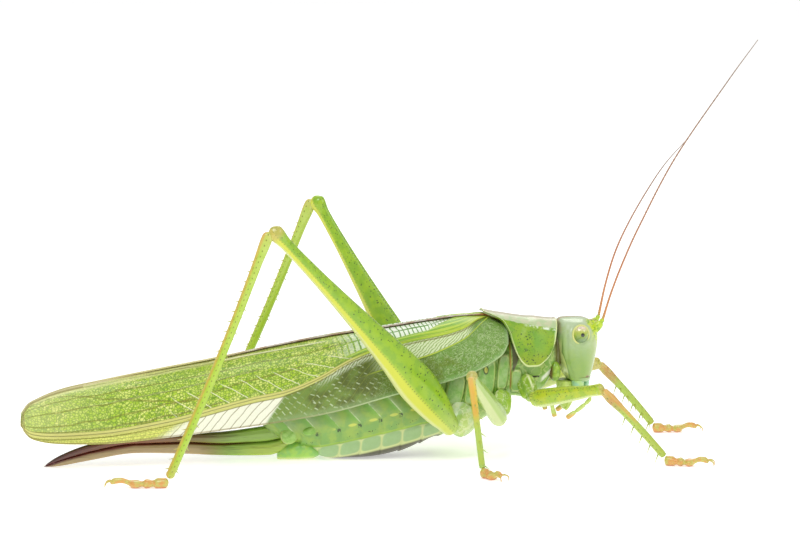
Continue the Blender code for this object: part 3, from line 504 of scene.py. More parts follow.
FEELERS = {
    "right": (
        (28.05, -1.35, 14.05), (28.7, -2.3, 17.0), (29.6, -3.8, 20.5), (30.9, -5.8, 24.7),
        (33.6, -9.5, 32.0), (37.9, -13.5, 40.1), (40.5, -16.0, 44.75),
    ),
    "left": (
        (28.25, 1.35, 14.0), (29.4, 3.0, 17.2), (31.2, 6.0, 20.2), (33.7, 10.4, 22.6),
        (37.2, 16.4, 25.2), (41.0, 22.4, 27.7), (45.3, 28.3, 29.95),
    ),
}
THREAD_SIZES = ((0.0, 0.16), (0.08, 0.13), (0.4, 0.105), (0.75, 0.08), (1.0, 0.045))
THREAD_RINGS = 110
SCAPE_SIZES = ((0.0, 0.34), (0.25, 0.52), (0.6, 0.5), (0.85, 0.4), (1.0, 0.34))
RING_LENGTH = 0.42
# The millimetres in one unit of a chart, and the direction across the body.
CHART = 100.0
ACROSS = Vector((0, 1, 0))


def smooth_path(points):
    """The point at a share of the way along a smooth curve through the given ones."""
    rows = [(i, *p) for i, p in enumerate(points)]
    return lambda share: Vector(between(rows, share * (len(points) - 1)))


def limb(name, path, sizes, side, along, around, cap=0.04, even=False, relief=None):
    """A limb's closed skin along a path. sizes(share) gives its reach to the upper side, to the lower
    side and across, and relief(share, turn) what stands up from it. Its chart holds the distance
    along it and the turn round it."""
    step = 0.002
    length = sum((path(i / 50) - path((i + 1) / 50)).length for i in range(50))

    def skin(u, v):
        share = u if even else 0.5 - 0.5 * math.cos(math.pi * u)
        ahead = (path(min(share + step, 1.0)) - path(max(share - step, 0.0))).normalized()
        over = ahead.cross(side).normalized()
        across = over.cross(ahead).normalized()
        turn = 2 * math.pi * v
        up, down, half = sizes(share)
        lift = 0.0 if relief is None else relief(share, turn)
        round_off = dome(clamp(min(share, 1.0 - share) / cap))
        reach = ((up if math.sin(turn) > 0 else down) + lift) * math.sin(turn)
        return path(share) + (over * reach + across * math.cos(turn) * (half + lift)) * round_off

    piece = rolled(name, along, around, skin)
    for corner in piece.data.uv_layers[0].data:
        share = corner.uv.x if even else 0.5 - 0.5 * math.cos(math.pi * corner.uv.x)
        corner.uv = (share * length / CHART, corner.uv.y)
    return piece


thread = Paint("ringed_thread", 0.5, coat=0.1)
thread_along = thread.chart("UVMap")[0]
thread_colour = thread.ramp(
    thread_along,
    (0.0, tint(206, 176, 80)), (0.012, tint(212, 144, 86)), (0.1, tint(196, 128, 84)),
    (0.2, tint(172, 124, 92)), (0.3, tint(150, 128, 110)), (0.42, tint(176, 168, 160)),
)
ring_wave = thread.fract(thread.times(thread_along, CHART / RING_LENGTH))
ring_share = thread.line(ring_wave, 0.5, 0.08, 0.12)
thread_colour = thread.layer(thread_colour, ring_share, 0.4, tint(110, 72, 44))
thread_material = thread.finish(thread_colour, ring_share, 0.25, 0.02)

sprout = Paint("yellow_green_horn", 0.35, coat=0.3)
sprout_flecks = sprout.rise(sprout.noise(3.0), 0.46, 0.62)
sprout_colour = sprout.mix(sprout_flecks, tint(190, 214, 52), tint(146, 184, 40))
sprout_material = sprout.finish(sprout_colour, sprout.noise(9.0), 0.2, 0.03)

for side, sign in SIDES:
    root, end = mirrored(SCAPE_ROOT, sign), mirrored(SCAPE_ENDS[side], sign)
    thread_start = Vector(FEELERS[side][0])

    def scape_sizes(share):
        radius = between(SCAPE_SIZES, share)[0]
        return radius, radius, radius * 0.92

    scape = limb(f"scape_{side}", lambda t: root.lerp(end, t), scape_sizes, ACROSS, 24, 28, 0.12)
    pedicel = limb(
        f"pedicel_{side}", lambda t: root.lerp(end, 0.85).lerp(thread_start, t * 1.2),
        lambda t: (0.24, 0.24, 0.24), ACROSS, 14, 22, 0.3,
    )
    feeler_base = joined(f"feeler_base_{side}", [scape, pedicel])
    mount(feeler_base, "head_skin", sprout_material, f"antenna_base_{side}")

    def thread_sizes(share):
        radius = between(THREAD_SIZES, share)[0]
        joint = (share * THREAD_RINGS) % 1.0
        radius *= 1.0 - 0.16 * hump(joint, 0.5, 0.35)
        return radius, radius, radius

    feeler = limb(
        f"feeler_{side}", smooth_path(FEELERS[side]), thread_sizes, ACROSS, THREAD_RINGS * 4, 10,
        0.002, even=True,
    )
    mount(feeler, "feeler", thread_material, f"antenna_{side}")

# The mouth: a bluish lip hangs over two stout jaws with dark biting edges. Behind them is the lower
# lip, and two pairs of jointed palps feel the food; the long pair has orange tips.

# Height: back, front, half width.
LABRUM = (
    (6.05, 26.1, 26.6, 0.5), (6.3, 25.95, 26.75, 0.85), (6.8, 25.9, 26.8, 1.1),
    (7.3, 25.9, 26.85, 1.35), (7.7, 25.9, 26.9, 1.4), (8.0, 26.0, 26.9, 1.35),
)
MANDIBLE = (
    (6.15, 25.2, 25.75, 0.25), (6.4, 24.9, 26.05, 0.55), (6.9, 24.8, 26.0, 0.78),
    (7.6, 24.7, 26.05, 0.82), (8.2, 24.8, 26.05, 0.6),
)
MANDIBLE_AWAY = 1.25
LABIUM = ((4.4, 24.0, 24.5, 0.45), (4.8, 23.8, 24.7, 0.85), (5.3, 23.65, 24.85, 1.05), (6.0, 23.5, 25.0, 1.2),
          (7.5, 23.4, 25.2, 1.35))
MAXILLARY_PALP = ((25.0, 1.7, 7.0), (25.9, 2.3, 6.5), (26.4, 2.7, 5.9), (25.7, 2.6, 5.1), (24.8, 2.5, 4.4),
                  (23.9, 2.4, 3.75))
LABIAL_PALP = ((24.0, 1.2, 5.9), (22.9, 1.9, 5.8), (22.4, 2.2, 5.2), (22.7, 2.2, 3.9))
# Each pair of palps: its name, its points, and at which shares of its length the joints lie.
PALPS = (("maxillary", MAXILLARY_PALP, (0.2, 0.4, 0.56, 0.78)), ("labial", LABIAL_PALP, (0.33, 0.62)))
PALP_SIZE = 0.24
GALEA = ((24.9, 0.75, 6.4), (24.75, 0.85, 5.5), (24.4, 0.7, 4.7), (24.2, 0.5, 4.35))


def upright(name, table, along, around, away=0.0, relief=None):
    """A form through level rings, as the lip and jaws are."""

    def skin(u, v):
        bottom, top = table[0][0], table[-1][0]
        z = (bottom + top) / 2 - math.cos(math.pi * u) * (top - bottom) / 2
        back, front, half = between(table, z)
        if u in (0.0, 1.0):
            half, back, front = 0.0, (back + front) / 2, (back + front) / 2
        turn = 2 * math.pi * v
        grow = 0.0 if relief is None else relief(z, turn)
        x = (back + front) / 2 + ((front - back) / 2 + grow) * power(math.cos(turn), 0.85)
        return Vector((x, away + (half + grow) * power(math.sin(turn), 0.9), z))

    return rolled(name, along, around, skin)


lip = Paint("pale_lip", 0.3, coat=0.35)
lip_shade = lip.rise(lip.noise(1.6), 0.4, 0.65)
lip_colour = lip.mix(lip_shade, tint(150, 198, 158), tint(176, 212, 130))
bite = lip.rise(lip.z, 6.75, 6.35)
lip_colour = lip.mix(lip.times(bite, lip.rise(lip.x, 26.25, 26.0)), lip_colour, tint(70, 44, 22))
lip_material = lip.finish(lip_colour, lip.noise(8.0), 0.2, 0.03)

labrum = upright("labrum_lip", LABRUM, 30, 48, relief=lambda z, turn: -0.05 * hump(z, 7.35, 0.12))
mount(labrum, "mouthparts", lip_material, "labrum")
for side, sign in SIDES:
    def jaw_teeth(z, turn):
        return 0.05 * math.cos(turn * 5) * clamp((6.9 - z) / 0.5)

    jaw = upright(f"jaw_{side}", MANDIBLE, 30, 48, MANDIBLE_AWAY * sign, jaw_teeth)
    mount(jaw, "mouthparts", lip_material, f"mandible_{side}")

palp_horn = Paint("palp_horn", 0.4, coat=0.25)
palp_shade = palp_horn.rise(palp_horn.noise(2.0), 0.4, 0.6)
palp_colour = palp_horn.mix(palp_shade, tint(196, 214, 120), tint(176, 200, 84))
palp_colour = palp_horn.mix(palp_horn.rise(palp_horn.z, 4.5, 3.9), palp_colour, tint(222, 176, 96))
palp_material = palp_horn.finish(palp_colour, palp_horn.noise(10.0), 0.15, 0.02)

labium = upright("lower_lip", LABIUM, 30, 48, relief=lambda z, turn: -0.06 * hump(z, 5.9, 0.2))
lobes = []
for side, sign in SIDES:
    lobe_path = smooth_path([mirrored(p, sign) for p in GALEA])
    lobes.append(limb(f"lobe_{side}", lobe_path, lambda t: (0.3 - 0.1 * t,) * 3, ACROSS, 20, 18, 0.15))
mount(joined("lower_lip", [labium, *lobes]), "mouthparts", palp_material, "labium")

for side, sign in SIDES:
    for kind, points, joints in PALPS:
        def palp_sizes(share):
            pinch = sum(hump(share, joint, 0.035) for joint in joints)
            radius = PALP_SIZE * (1.0 - 0.34 * pinch) * (0.92 + 0.2 * hump(share, 0.93, 0.16))
            return radius, radius, radius

        palp_path = smooth_path([mirrored(p, sign) for p in points])
        palp = limb(f"{kind}_feeler_{side}", palp_path, palp_sizes, ACROSS, 70, 18, 0.035, even=True)
        mount(palp, "mouthparts", palp_material, f"{kind}_palp_{side}")

# The pronotum: a glossy saddle of horn over the first part of the thorax, with a rounded lobe down
# each side. Its border is a cream cord, and dark pits are scattered over the lobes.

# Place along the ridge: height of the ridge, half width, lowest height of the side lobe.
PRONOTUM = (
    (23.2, 14.17, 3.1, 12.0), (22.9, 14.2, 3.12, 10.7), (22.4, 14.25, 3.2, 9.95), (21.7, 14.33, 3.3, 9.5),
    (20.9, 14.45, 3.4, 9.5), (20.0, 14.5, 3.45, 10.0), (19.3, 14.6, 3.5, 10.9), (18.65, 14.7, 3.55, 12.05),
    (18.1, 14.8, 3.6, 13.2), (17.4, 14.93, 3.65, 14.15), (16.8, 15.03, 3.65, 14.6), (16.0, 15.2, 3.6, 14.95),
    (15.2, 15.37, 3.4, 15.25),
)
PRONOTUM_DEPTH, PRONOTUM_SLANT, PRONOTUM_SQUARE = 7.0, 0.25, 2.5
SHIELD_WALL, SHIELD_RIM, SHIELD_RIM_RISE = 0.2, 0.12, 0.07


def arch(top, depth, half, angle, squareness):
    """A point of an arched section, from the ridge at angle 0 to the low side at a quarter turn."""
    away = half * power(math.sin(angle), 2 / squareness)
    return away, top - depth * (1 - power(math.cos(angle), 2 / squareness))


def shield_end(x):
    """The angle at which the side lobe ends, at a place along the ridge."""
    top, half, lobe = between(PRONOTUM, x)
    return math.acos((1 - clamp((top - lobe) / PRONOTUM_DEPTH)) ** (PRONOTUM_SQUARE / 2))


def shield_skin(u, v):
    front, back = PRONOTUM[0][0], PRONOTUM[-1][0]
    x = front + (back - front) * u
    top, half, lobe = between(PRONOTUM, x)
    side = 2 * v - 1
    angle = abs(side) * shield_end(x)
    away, z = arch(top, PRONOTUM_DEPTH, half, angle, PRONOTUM_SQUARE)
    reach = (top - lobe + half) * (1 - abs(side))
    edge = min(reach, front - x, (x - back) * 1.6)
    lift = SHIELD_RIM_RISE * hump(edge, 0.1, SHIELD_RIM)
    lobe_part = clamp((abs(side) - 0.3) / 0.2) * clamp((0.85 - abs(side)) / 0.2)
    lift -= 0.07 * hump(x, 20.3 - 0.16 * (top - z), 0.9) * lobe_part
    lift += 0.06 * hump(top - z, 0.7, 0.5) * clamp((22.8 - x) / 0.6)
    outward = Vector((0, math.copysign(math.sin(angle), side), math.cos(angle)))
    return Vector((x - PRONOTUM_SLANT * (top - z), math.copysign(away, side), z)) + outward * lift


def walled(piece, thickness):
    """Gives an open skin its thickness, laid inwards."""
    wall = piece.modifiers.new("wall", "SOLIDIFY")
    wall.thickness = thickness * MM
    wall.offset = -1.0
    bpy.ops.object.modifier_apply(modifier=wall.name)
    return piece


def facing_out(piece, outside):
    """Turns an open skin's faces so that their normals point away from a place inside it."""
    middle = at(outside)
    total = sum((face.center - middle).dot(face.normal) * face.area for face in piece.data.polygons)
    if total < 0:
        bpy.ops.object.mode_set(mode="EDIT")
        bpy.ops.mesh.select_all(action="SELECT")
        bpy.ops.mesh.flip_normals()
        bpy.ops.object.mode_set(mode="OBJECT")
    return piece


shield = rolled("pronotum_shield", 120, 200, shield_skin, tube=False)
shield = walled(facing_out(shield, (19.5, 0.0, 9.0)), SHIELD_WALL)

saddle = Paint("saddle_horn", 0.3, coat=0.3)
saddle_u, saddle_v = saddle.chart("UVMap")
from_top = saddle.absolute(saddle.minus(saddle.times(saddle_v, 2.0), 1.0))
# The back is a pale strip with a sharp border, wide in front and narrow on the tail.
ridge_height = saddle.plus(
    saddle.slide(saddle.x, 23.2, 18.6, 14.17, 14.72), saddle.slide(saddle.x, 18.6, 15.2, 0.0, 0.65)
)
below_ridge = saddle.minus(ridge_height, saddle.z)
strip_width = saddle.slide(saddle.x, 16.0, 22.5, 0.42, 0.85)
ragged_strip = saddle.plus(strip_width, saddle.times(saddle.minus(saddle.noise(1.4, 3.0), 0.5), 0.25))
side_share = saddle.rise(saddle.minus(below_ridge, ragged_strip), 0.0, 0.06)
blotch = saddle.rise(saddle.noise(0.75, 4.0), 0.4, 0.62)
lobe_colour = saddle.mix(blotch, tint(140, 174, 34), tint(112, 160, 34))
smooth_blotch = saddle.line(saddle.x, 20.9, 0.3, 0.7)
smooth_blotch = saddle.times(smooth_blotch, saddle.line(saddle.z, 11.8, 0.7, 0.9))
lobe_colour = saddle.mix(saddle.times(smooth_blotch, 0.5), lobe_colour, tint(122, 172, 66))
warm = saddle.times(saddle.rise(saddle.z, 11.4, 10.2), 0.6)
lobe_colour = saddle.mix(warm, lobe_colour, tint(152, 170, 26))
top_colour = saddle.mix(saddle.rise(saddle.noise(1.6), 0.4, 0.6), tint(178, 198, 146), tint(196, 200, 160))
top_colour = saddle.layer(top_colour, saddle.rise(below_ridge, 0.2, 0.0), 0.6, tint(208, 184, 160))
# Painted highlight: a patchy near-white band just below the strip's border stands in for light reflected by
# the glossy shoulder.
highlight_place = saddle.minus(below_ridge, saddle.plus(strip_width, 0.12))
painted_highlight = saddle.times(saddle.line(highlight_place, 0.05, 0.06, 0.12), saddle.rise(saddle.x, 19.2, 20.0))
painted_highlight = saddle.times(painted_highlight, saddle.rise(saddle.noise(1.9, 4.0), 0.42, 0.6))
lobe_colour = saddle.mix(saddle.times(painted_highlight, 0.85), lobe_colour, tint(236, 244, 226))
saddle_colour = saddle.mix(side_share, top_colour, lobe_colour)
# Dark pits crowd behind the smooth blotch and along the low border.
pit_field = saddle.times(saddle.line(saddle.x, 18.9, 0.8, 0.8), saddle.line(saddle.z, 12.0, 0.8, 0.9))
low_field = saddle.times(saddle.rise(saddle.z, 11.2, 10.6), saddle.rise(from_top, 0.985, 0.95))
pit_field = saddle.most(pit_field, saddle.most(low_field, 0.35))
pits = saddle.rise(saddle.cells(3.1), 0.34, 0.2)
pits = saddle.most(pits, saddle.times(saddle.rise(saddle.cells(4.8), 0.3, 0.16), 0.6))
pit_patches = saddle.times(side_share, saddle.rise(saddle.noise(1.2), 0.3, 0.42))
pits = saddle.times(saddle.times(pits, pit_field), pit_patches)
saddle_colour = saddle.mix(saddle.times(pits, 0.9), saddle_colour, tint(44, 70, 14))
edge_share = saddle.most(saddle.rise(from_top, 0.976, 0.986), saddle.rise(saddle_u, 0.02, 0.012))
edge_share = saddle.most(edge_share, saddle.rise(saddle_u, 0.985, 0.993))
saddle_colour = saddle.mix(edge_share, saddle_colour, tint(218, 230, 160))
saddle_height = saddle.minus(saddle.times(saddle.noise(2.4, 4.0), 0.6), pits)
mount(shield, "shield", saddle.finish(saddle_colour, saddle_height, 0.4, 0.08), "pronotum")

# The trunk: one soft skin over thorax and belly. The belly's ringed plates overlap like tiles towards
# the tail, above a row of mint plates below; the thorax has upright side plates and a breathing hole.

# Along X: lowest height, highest height, half width.
TRUNK = (
    (23.6, 9.0, 12.6, 1.7), (22.6, 8.0, 12.9, 2.1), (21.5, 6.6, 13.0, 2.4), (20.0, 5.8, 13.1, 2.5),
    (18.5, 6.0, 13.0, 2.4), (17.8, 5.8, 12.6, 2.25), (17.0, 4.9, 12.2, 2.35), (15.8, 4.0, 12.3, 2.8),
    (14.6, 3.4, 12.3, 3.2), (13.0, 2.9, 12.1, 3.3), (11.6, 2.5, 11.8, 3.2), (10.6, 2.0, 11.4, 3.05),
    (9.6, 1.8, 11.1, 3.3), (7.4, 0.9, 11.0, 3.4), (4.7, 0.25, 10.7, 3.5), (2.0, 0.0, 10.3, 3.5),
    (-0.5, 0.0, 9.7, 3.35), (-2.2, 0.3, 9.1, 3.1), (-3.2, 0.9, 8.7, 2.8), (-4.6, 1.6, 8.1, 2.4),
    (-6.2, 2.2, 7.3, 2.0), (-7.8, 3.2, 6.5, 1.5), (-8.8, 4.4, 5.8, 0.8),
)
TRUNK_SQUARE, TRUNK_WIDEST = 2.2, 0.42
PLATE_EDGES = (10.3, 8.3, 6.1, 3.9, 1.7, -0.5, -2.6, -4.4, -6.0, -8.9)
PLATE_STEP, PLATE_SLANT, PLATE_LENGTH = 0.16, 0.75, 2.2
MARK_HEIGHT, MARK_CLIMB = 3.72, 0.215
FOLD_HEIGHT, FOLD_CLIMB = 2.1, 0.205
# Plates of the thorax's side: middle along X and up, half length and half height, lean forwards.
SIDE_PLATES = (
    (17.05, 8.9, 0.6, 2.0, 0.12), (15.1, 8.5, 1.05, 2.2, 0.1), (18.5, 7.9, 0.55, 1.3, 0.0),
    (13.4, 7.3, 0.6, 1.7, 0.12), (11.7, 7.2, 0.95, 1.7, 0.2),
)
PLATE_LIFT, PLATE_GROOVE = 0.14, 0.16
BREATHING_HOLE, HOLE_STRETCH = (15.05, 9.3), 1.6
NECK_LOBE, NECK_LOBE_SIZE = (22.75, 1.75, 8.75), (0.62, 0.75, 1.1)


def plate_away(x, z, plate):
    """How far a place is from the middle of a side plate: 1 at its edge."""
    middle_x, middle_z, long, tall, lean = plate
    across, up = (x - middle_x - lean * (z - middle_z)) / long, (z - middle_z) / tall
    return (across ** 4 + up ** 4) ** 0.25


def plate_place(x, z):
    """The place along the belly that plates are counted by: their edges slant above the marks."""
    return x + PLATE_SLANT * max(z - MARK_HEIGHT - MARK_CLIMB * x, 0.0)


def trunk_skin(u, v):
    front, back = TRUNK[0][0], TRUNK[-1][0]
    x = front + (back - front) * u
    low, high, half = between(TRUNK, x)
    turn = 2 * math.pi * v - math.pi / 2
    middle = low + (high - low) * TRUNK_WIDEST
    reach = (high - middle) if math.sin(turn) > 0 else (middle - low)
    y = half * power(math.cos(turn), 2 / TRUNK_SQUARE)
    z = middle + reach * power(math.sin(turn), 2 / TRUNK_SQUARE)
    lift = 0.0
    if x < 10.6:
        place = plate_place(x, z)
        for front_edge, back_edge in zip(PLATE_EDGES, PLATE_EDGES[1:]):
            if back_edge < place <= front_edge:
                share = (front_edge - place) / (front_edge - back_edge)
                lift += PLATE_STEP * (share - 0.5) * clamp((z - 0.2) / 0.5) * clamp((10.6 - x) / 0.6)
        fold = FOLD_HEIGHT + FOLD_CLIMB * x
        lift -= 0.16 * hump(z, fold, 0.3) * clamp((x + 4.5) / 1.5) * clamp((10.4 - x) / 1.0)
        lift -= 0.05 * hump(z, MARK_HEIGHT + MARK_CLIMB * x, 0.2) * clamp((x + 4.5) / 1.5)
    else:
        for plate in SIDE_PLATES:
            away = plate_away(x, z, plate)
            lift += PLATE_LIFT * clamp((1.0 - away) / 0.25) - PLATE_GROOVE * hump(away, 1.08, 0.16)
            lift += 0.06 * hump(away, 0.82, 0.12)
        hole = math.hypot(x - BREATHING_HOLE[0], (z - BREATHING_HOLE[1]) / HOLE_STRETCH)
        lift += 0.1 * hump(hole, 0.22, 0.16) - 0.12 * hump(hole, 0.0, 0.14)
        lift -= 0.12 * clamp((x - 22.2) / 0.5) * (0.5 + 0.5 * math.sin(x * 14.0))
    lift *= clamp(min(front - x, x - back) / 0.4)
    pinch = dome(clamp(min(front - x, x - back) / 0.12))
    outward = Vector((0, math.cos(turn), math.sin(turn)))
    point = Vector((x, y, z)) + outward * lift
    point.y *= pinch
    point.z = middle + (point.z - middle) * pinch
    point.z = max(point.z, 0.0)
    return point


flesh = Paint("mint_flesh", 0.32, coat=0.3)
flesh_mark = flesh.plus(flesh.times(flesh.x, MARK_CLIMB), MARK_HEIGHT)
above_mark = flesh.most(flesh.minus(flesh.z, flesh_mark), 0.0)
flesh_place = flesh.plus(flesh.x, flesh.times(above_mark, PLATE_SLANT))
above_fold = flesh.minus(flesh.z, flesh.plus(flesh.times(flesh.x, FOLD_CLIMB), FOLD_HEIGHT))
# How far behind the edge of its plate a point lies, as a share of a plate's length. The count starts
# ten plates ahead, so that it is never below 0.
first_edge = PLATE_EDGES[1] + 10 * PLATE_LENGTH
behind_edge = flesh.fract(flesh.ratio(flesh.minus(first_edge, flesh_place), PLATE_LENGTH))
clouds = flesh.rise(flesh.noise(0.9, 4.0), 0.38, 0.62)
flesh_colour = flesh.mix(clouds, tint(128, 170, 82), tint(152, 182, 78))
# Painted highlight: a brighter green just behind each plate's edge, above the marks.
painted_edge_highlight = flesh.times(flesh.rise(behind_edge, 0.5, 0.1), flesh.rise(above_mark, 0.0, 0.9))
flesh_colour = flesh.mix(flesh.times(painted_edge_highlight, 0.7), flesh_colour, tint(118, 178, 52))
greyish = flesh.times(flesh.rise(behind_edge, 0.5, 0.85), flesh.rise(above_mark, 0.2, 1.2))
flesh_colour = flesh.mix(flesh.times(greyish, 0.55), flesh_colour, tint(152, 172, 116))
edge_line = flesh.most(flesh.rise(behind_edge, 0.94, 0.98), flesh.rise(behind_edge, 0.03, 0.0))
edge_line = flesh.times(edge_line, flesh.rise(flesh.noise(1.3), 0.34, 0.54))
edge_line = flesh.times(edge_line, flesh.rise(above_mark, 0.0, 0.5))
flesh_colour = flesh.mix(flesh.times(edge_line, 0.7), flesh_colour, tint(206, 220, 166))
# A lime line runs along the fold, the plates below it are mint and parted by cream, and cream edges them over
# the underside, which is painted dark as the shade where the belly turns under to the floor.
lime = flesh.line(above_fold, 0.1, 0.04, 0.12)
flesh_colour = flesh.mix(flesh.times(lime, 0.6), flesh_colour, tint(166, 200, 66))
plate_centre = flesh.absolute(flesh.minus(behind_edge, 0.5))
oval = flesh.oval(flesh.times(plate_centre, 2.12), flesh.ratio(flesh.plus(above_fold, 0.8), 0.78), 4.0)
below_share = flesh.rise(above_fold, 0.0, -0.12)
plate_shade = flesh.mix(flesh.noise(1.4, 3.0), tint(146, 180, 116), tint(164, 192, 140))
plate_colour = flesh.mix(flesh.rise(oval, 1.15, 0.75), tint(206, 214, 146), plate_shade)
# Painted shade: the lowest strip of the belly, next to the floor, is dark olive.
plate_colour = flesh.mix(flesh.rise(above_fold, -1.7, -2.0), plate_colour, tint(84, 82, 52))
belly = flesh.times(below_share, flesh.rise(flesh.x, 10.8, 10.2))
flesh_colour = flesh.mix(belly, flesh_colour, plate_colour)
# Yellow spots with black marks beside them, and rows of dark dots below.
spot_along = flesh.minus(behind_edge, 0.4)
spot_up = flesh.minus(flesh.z, flesh.plus(flesh_mark, 0.12))
spot = flesh.oval(flesh.ratio(spot_along, 0.2), flesh.ratio(spot_up, 0.17))
belly_part = flesh.rise(flesh.x, 9.2, 8.4)
spot_part = flesh.times(belly_part, flesh.rise(flesh.x, -1.6, -0.8))
spot_share = flesh.times(flesh.rise(spot, 1.15, 0.8), spot_part)
flesh_colour = flesh.layer(flesh_colour, spot_share, 0.8, tint(212, 216, 92))
mark_row = flesh.line(flesh.minus(flesh.z, flesh_mark), -0.1, 0.16, 0.1)
mark = flesh.times(flesh.line(behind_edge, 0.08, 0.06, 0.05), mark_row)
mark = flesh.times(mark, flesh.rise(flesh.noise(6.0), 0.42, 0.5))
fine_dots = flesh.rise(flesh.cells(4.6), 0.32, 0.22)
dot_row = flesh.times(fine_dots, flesh.line(above_fold, 0.62, 0.07, 0.05))
dot_row = flesh.times(dot_row, flesh.line(behind_edge, 0.4, 0.25, 0.08))
mark = flesh.most(mark, dot_row)
flesh_colour = flesh.mix(flesh.times(mark, flesh.times(belly_part, 0.85)), flesh_colour, tint(42, 62, 30))
# The thorax: leaf green plates with cream edges and dark folds between them, brown in the seam before
# its second part.
thorax = flesh.rise(flesh.x, 10.2, 11.0)
thorax_clouds = flesh.rise(flesh.noise(0.8, 3.0), 0.4, 0.6)
thorax_colour = flesh.mix(thorax_clouds, tint(118, 164, 44), tint(146, 184, 88))
thorax_colour = flesh.mix(flesh.times(flesh.rise(flesh.z, 6.4, 4.6), 0.6), thorax_colour, tint(176, 202, 112))
fold_lines = flesh.line(flesh.noise(0.9, 2.0), 0.5, 0.01, 0.03)
thorax_colour = flesh.mix(flesh.times(fold_lines, 0.45), thorax_colour, tint(206, 216, 130))
for middle_x, middle_z, long, tall, lean in SIDE_PLATES:
    plate_up = flesh.minus(flesh.z, middle_z)
    plate_across = flesh.minus(flesh.minus(flesh.x, middle_x), flesh.times(plate_up, lean))
    away_x = flesh.power(flesh.absolute(flesh.ratio(plate_across, long)), 4.0)
    away_z = flesh.power(flesh.absolute(flesh.ratio(plate_up, tall)), 4.0)
    away = flesh.power(flesh.plus(away_x, away_z), 0.25)
    mint = flesh.mix(thorax_clouds, tint(128, 178, 84), tint(160, 190, 124))
    thorax_colour = flesh.layer(thorax_colour, flesh.rise(away, 0.95, 0.8), 0.7, mint)
    thorax_colour = flesh.layer(thorax_colour, flesh.line(away, 0.86, 0.03, 0.06), 0.6, tint(208, 220, 140))
    thorax_colour = flesh.layer(thorax_colour, flesh.line(away, 1.06, 0.01, 0.1), 0.55, tint(72, 104, 28))
hole_place = flesh.join(flesh.x, 0.0, flesh.ratio(flesh.z, HOLE_STRETCH))
hole_middle = (BREATHING_HOLE[0], 0.0, BREATHING_HOLE[1] / HOLE_STRETCH)
hole_away = flesh.distance(hole_place, hole_middle)
thorax_colour = flesh.mix(flesh.rise(hole_away, 0.34, 0.26), thorax_colour, tint(66, 92, 30))
thorax_colour = flesh.mix(flesh.rise(hole_away, 0.22, 0.16), thorax_colour, tint(206, 206, 90))
# The seam's dark hollow is a triangle: it starts as a point below and widens forwards and up.
seam_width = flesh.slide(flesh.z, 8.7, 10.2, 0.0, 0.6)
seam_share = flesh.rise(flesh.minus(flesh.minus(flesh.x, 18.1), seam_width), 0.1, -0.05)
seam_part = flesh.times(flesh.rise(flesh.x, 18.02, 18.14), flesh.rise(flesh.z, 8.7, 9.2))
seam_share = flesh.times(seam_share, seam_part)
thorax_colour = flesh.layer(thorax_colour, seam_share, 0.85, tint(70, 52, 26))
orange_line = flesh.times(flesh.line(flesh.x, 17.9, 0.04, 0.07), flesh.rise(flesh.z, 6.8, 7.4))
thorax_colour = flesh.mix(flesh.times(orange_line, 0.75), thorax_colour, tint(176, 122, 48))
black_mark = flesh.times(flesh.line(flesh.x, 20.4, 0.45, 0.25), flesh.line(flesh.z, 8.35, 0.05, 0.1))
black_mark = flesh.times(black_mark, flesh.rise(flesh.noise(2.6), 0.42, 0.5))
thorax_colour = flesh.mix(black_mark, thorax_colour, tint(44, 40, 20))
white_climb = flesh.plus(7.7, flesh.times(flesh.minus(flesh.x, 21.2), 0.8))
white_band = flesh.line(flesh.minus(flesh.z, white_climb), 0.3, 0.1, 0.3)
white_skin = flesh.times(white_band, flesh.line(flesh.x, 21.8, 0.4, 0.4))
thorax_colour = flesh.layer(thorax_colour, white_skin, 0.85, tint(232, 236, 216))
# Painted shade: the neck skin behind the head is dark brown, standing in for the shade in the seam between
# head and saddle.
neck = flesh.rise(flesh.x, 22.5, 22.9)
neck_shade_colour = flesh.mix(flesh.noise(2.4, 3.0), tint(84, 66, 30), tint(112, 110, 44))
thorax_colour = flesh.mix(flesh.times(neck, 0.9), thorax_colour, neck_shade_colour)
flesh_colour = flesh.mix(thorax, flesh_colour, thorax_colour)
flesh_height = flesh.plus(flesh.noise(3.0, 4.0), flesh.times(flesh.cells(6.0), 0.3))
flesh_material = flesh.finish(flesh_colour, flesh_height, 0.25, 0.05)

trunk = rolled("trunk_skin", 330, 150, trunk_skin)
mount(trunk, "trunk", flesh_material, "prothorax", "pterothorax", "abdomen")

lobe_horn = Paint("neck_lobe_horn", 0.32, coat=0.3)
lobe_flecks = lobe_horn.rise(lobe_horn.noise(2.0, 3.0), 0.42, 0.6)
lobe_green = lobe_horn.mix(lobe_flecks, tint(160, 192, 66), tint(126, 166, 44))
lobe_green = lobe_horn.mix(lobe_horn.rise(lobe_horn.x, 22.55, 22.3), lobe_green, tint(104, 84, 36))
lobe_material = lobe_horn.finish(lobe_green, lobe_horn.noise(4.0), 0.3, 0.04)
for side, sign in SIDES:
    mount(ball(f"neck_lobe_{side}", mirrored(NECK_LOBE, sign), NECK_LOBE_SIZE), "trunk", lobe_material)

# The tail: a keeled plate closes the belly below, two short soft cerci stand beside the sword, and
# the sword's two horny valves lie one on the other, parted by a groove.

# Along X: lower edge, groove between the valves, upper edge, half thickness.
SWORD = (
    (-5.0, 1.5, 2.6, 4.0, 0.8), (-7.7, 0.5, 2.0, 3.65, 0.75), (-12.5, 0.65, 1.9, 3.15, 0.7),
    (-17.1, 1.0, 2.2, 3.1, 0.6), (-21.8, 1.2, 2.2, 2.95, 0.5), (-26.5, 0.6, 1.5, 2.3, 0.4),
    (-29.4, 0.15, 0.75, 1.3, 0.3), (-31.3, 0.0, 0.13, 0.3, 0.2),
)
SWORD_SLIT = 0.004
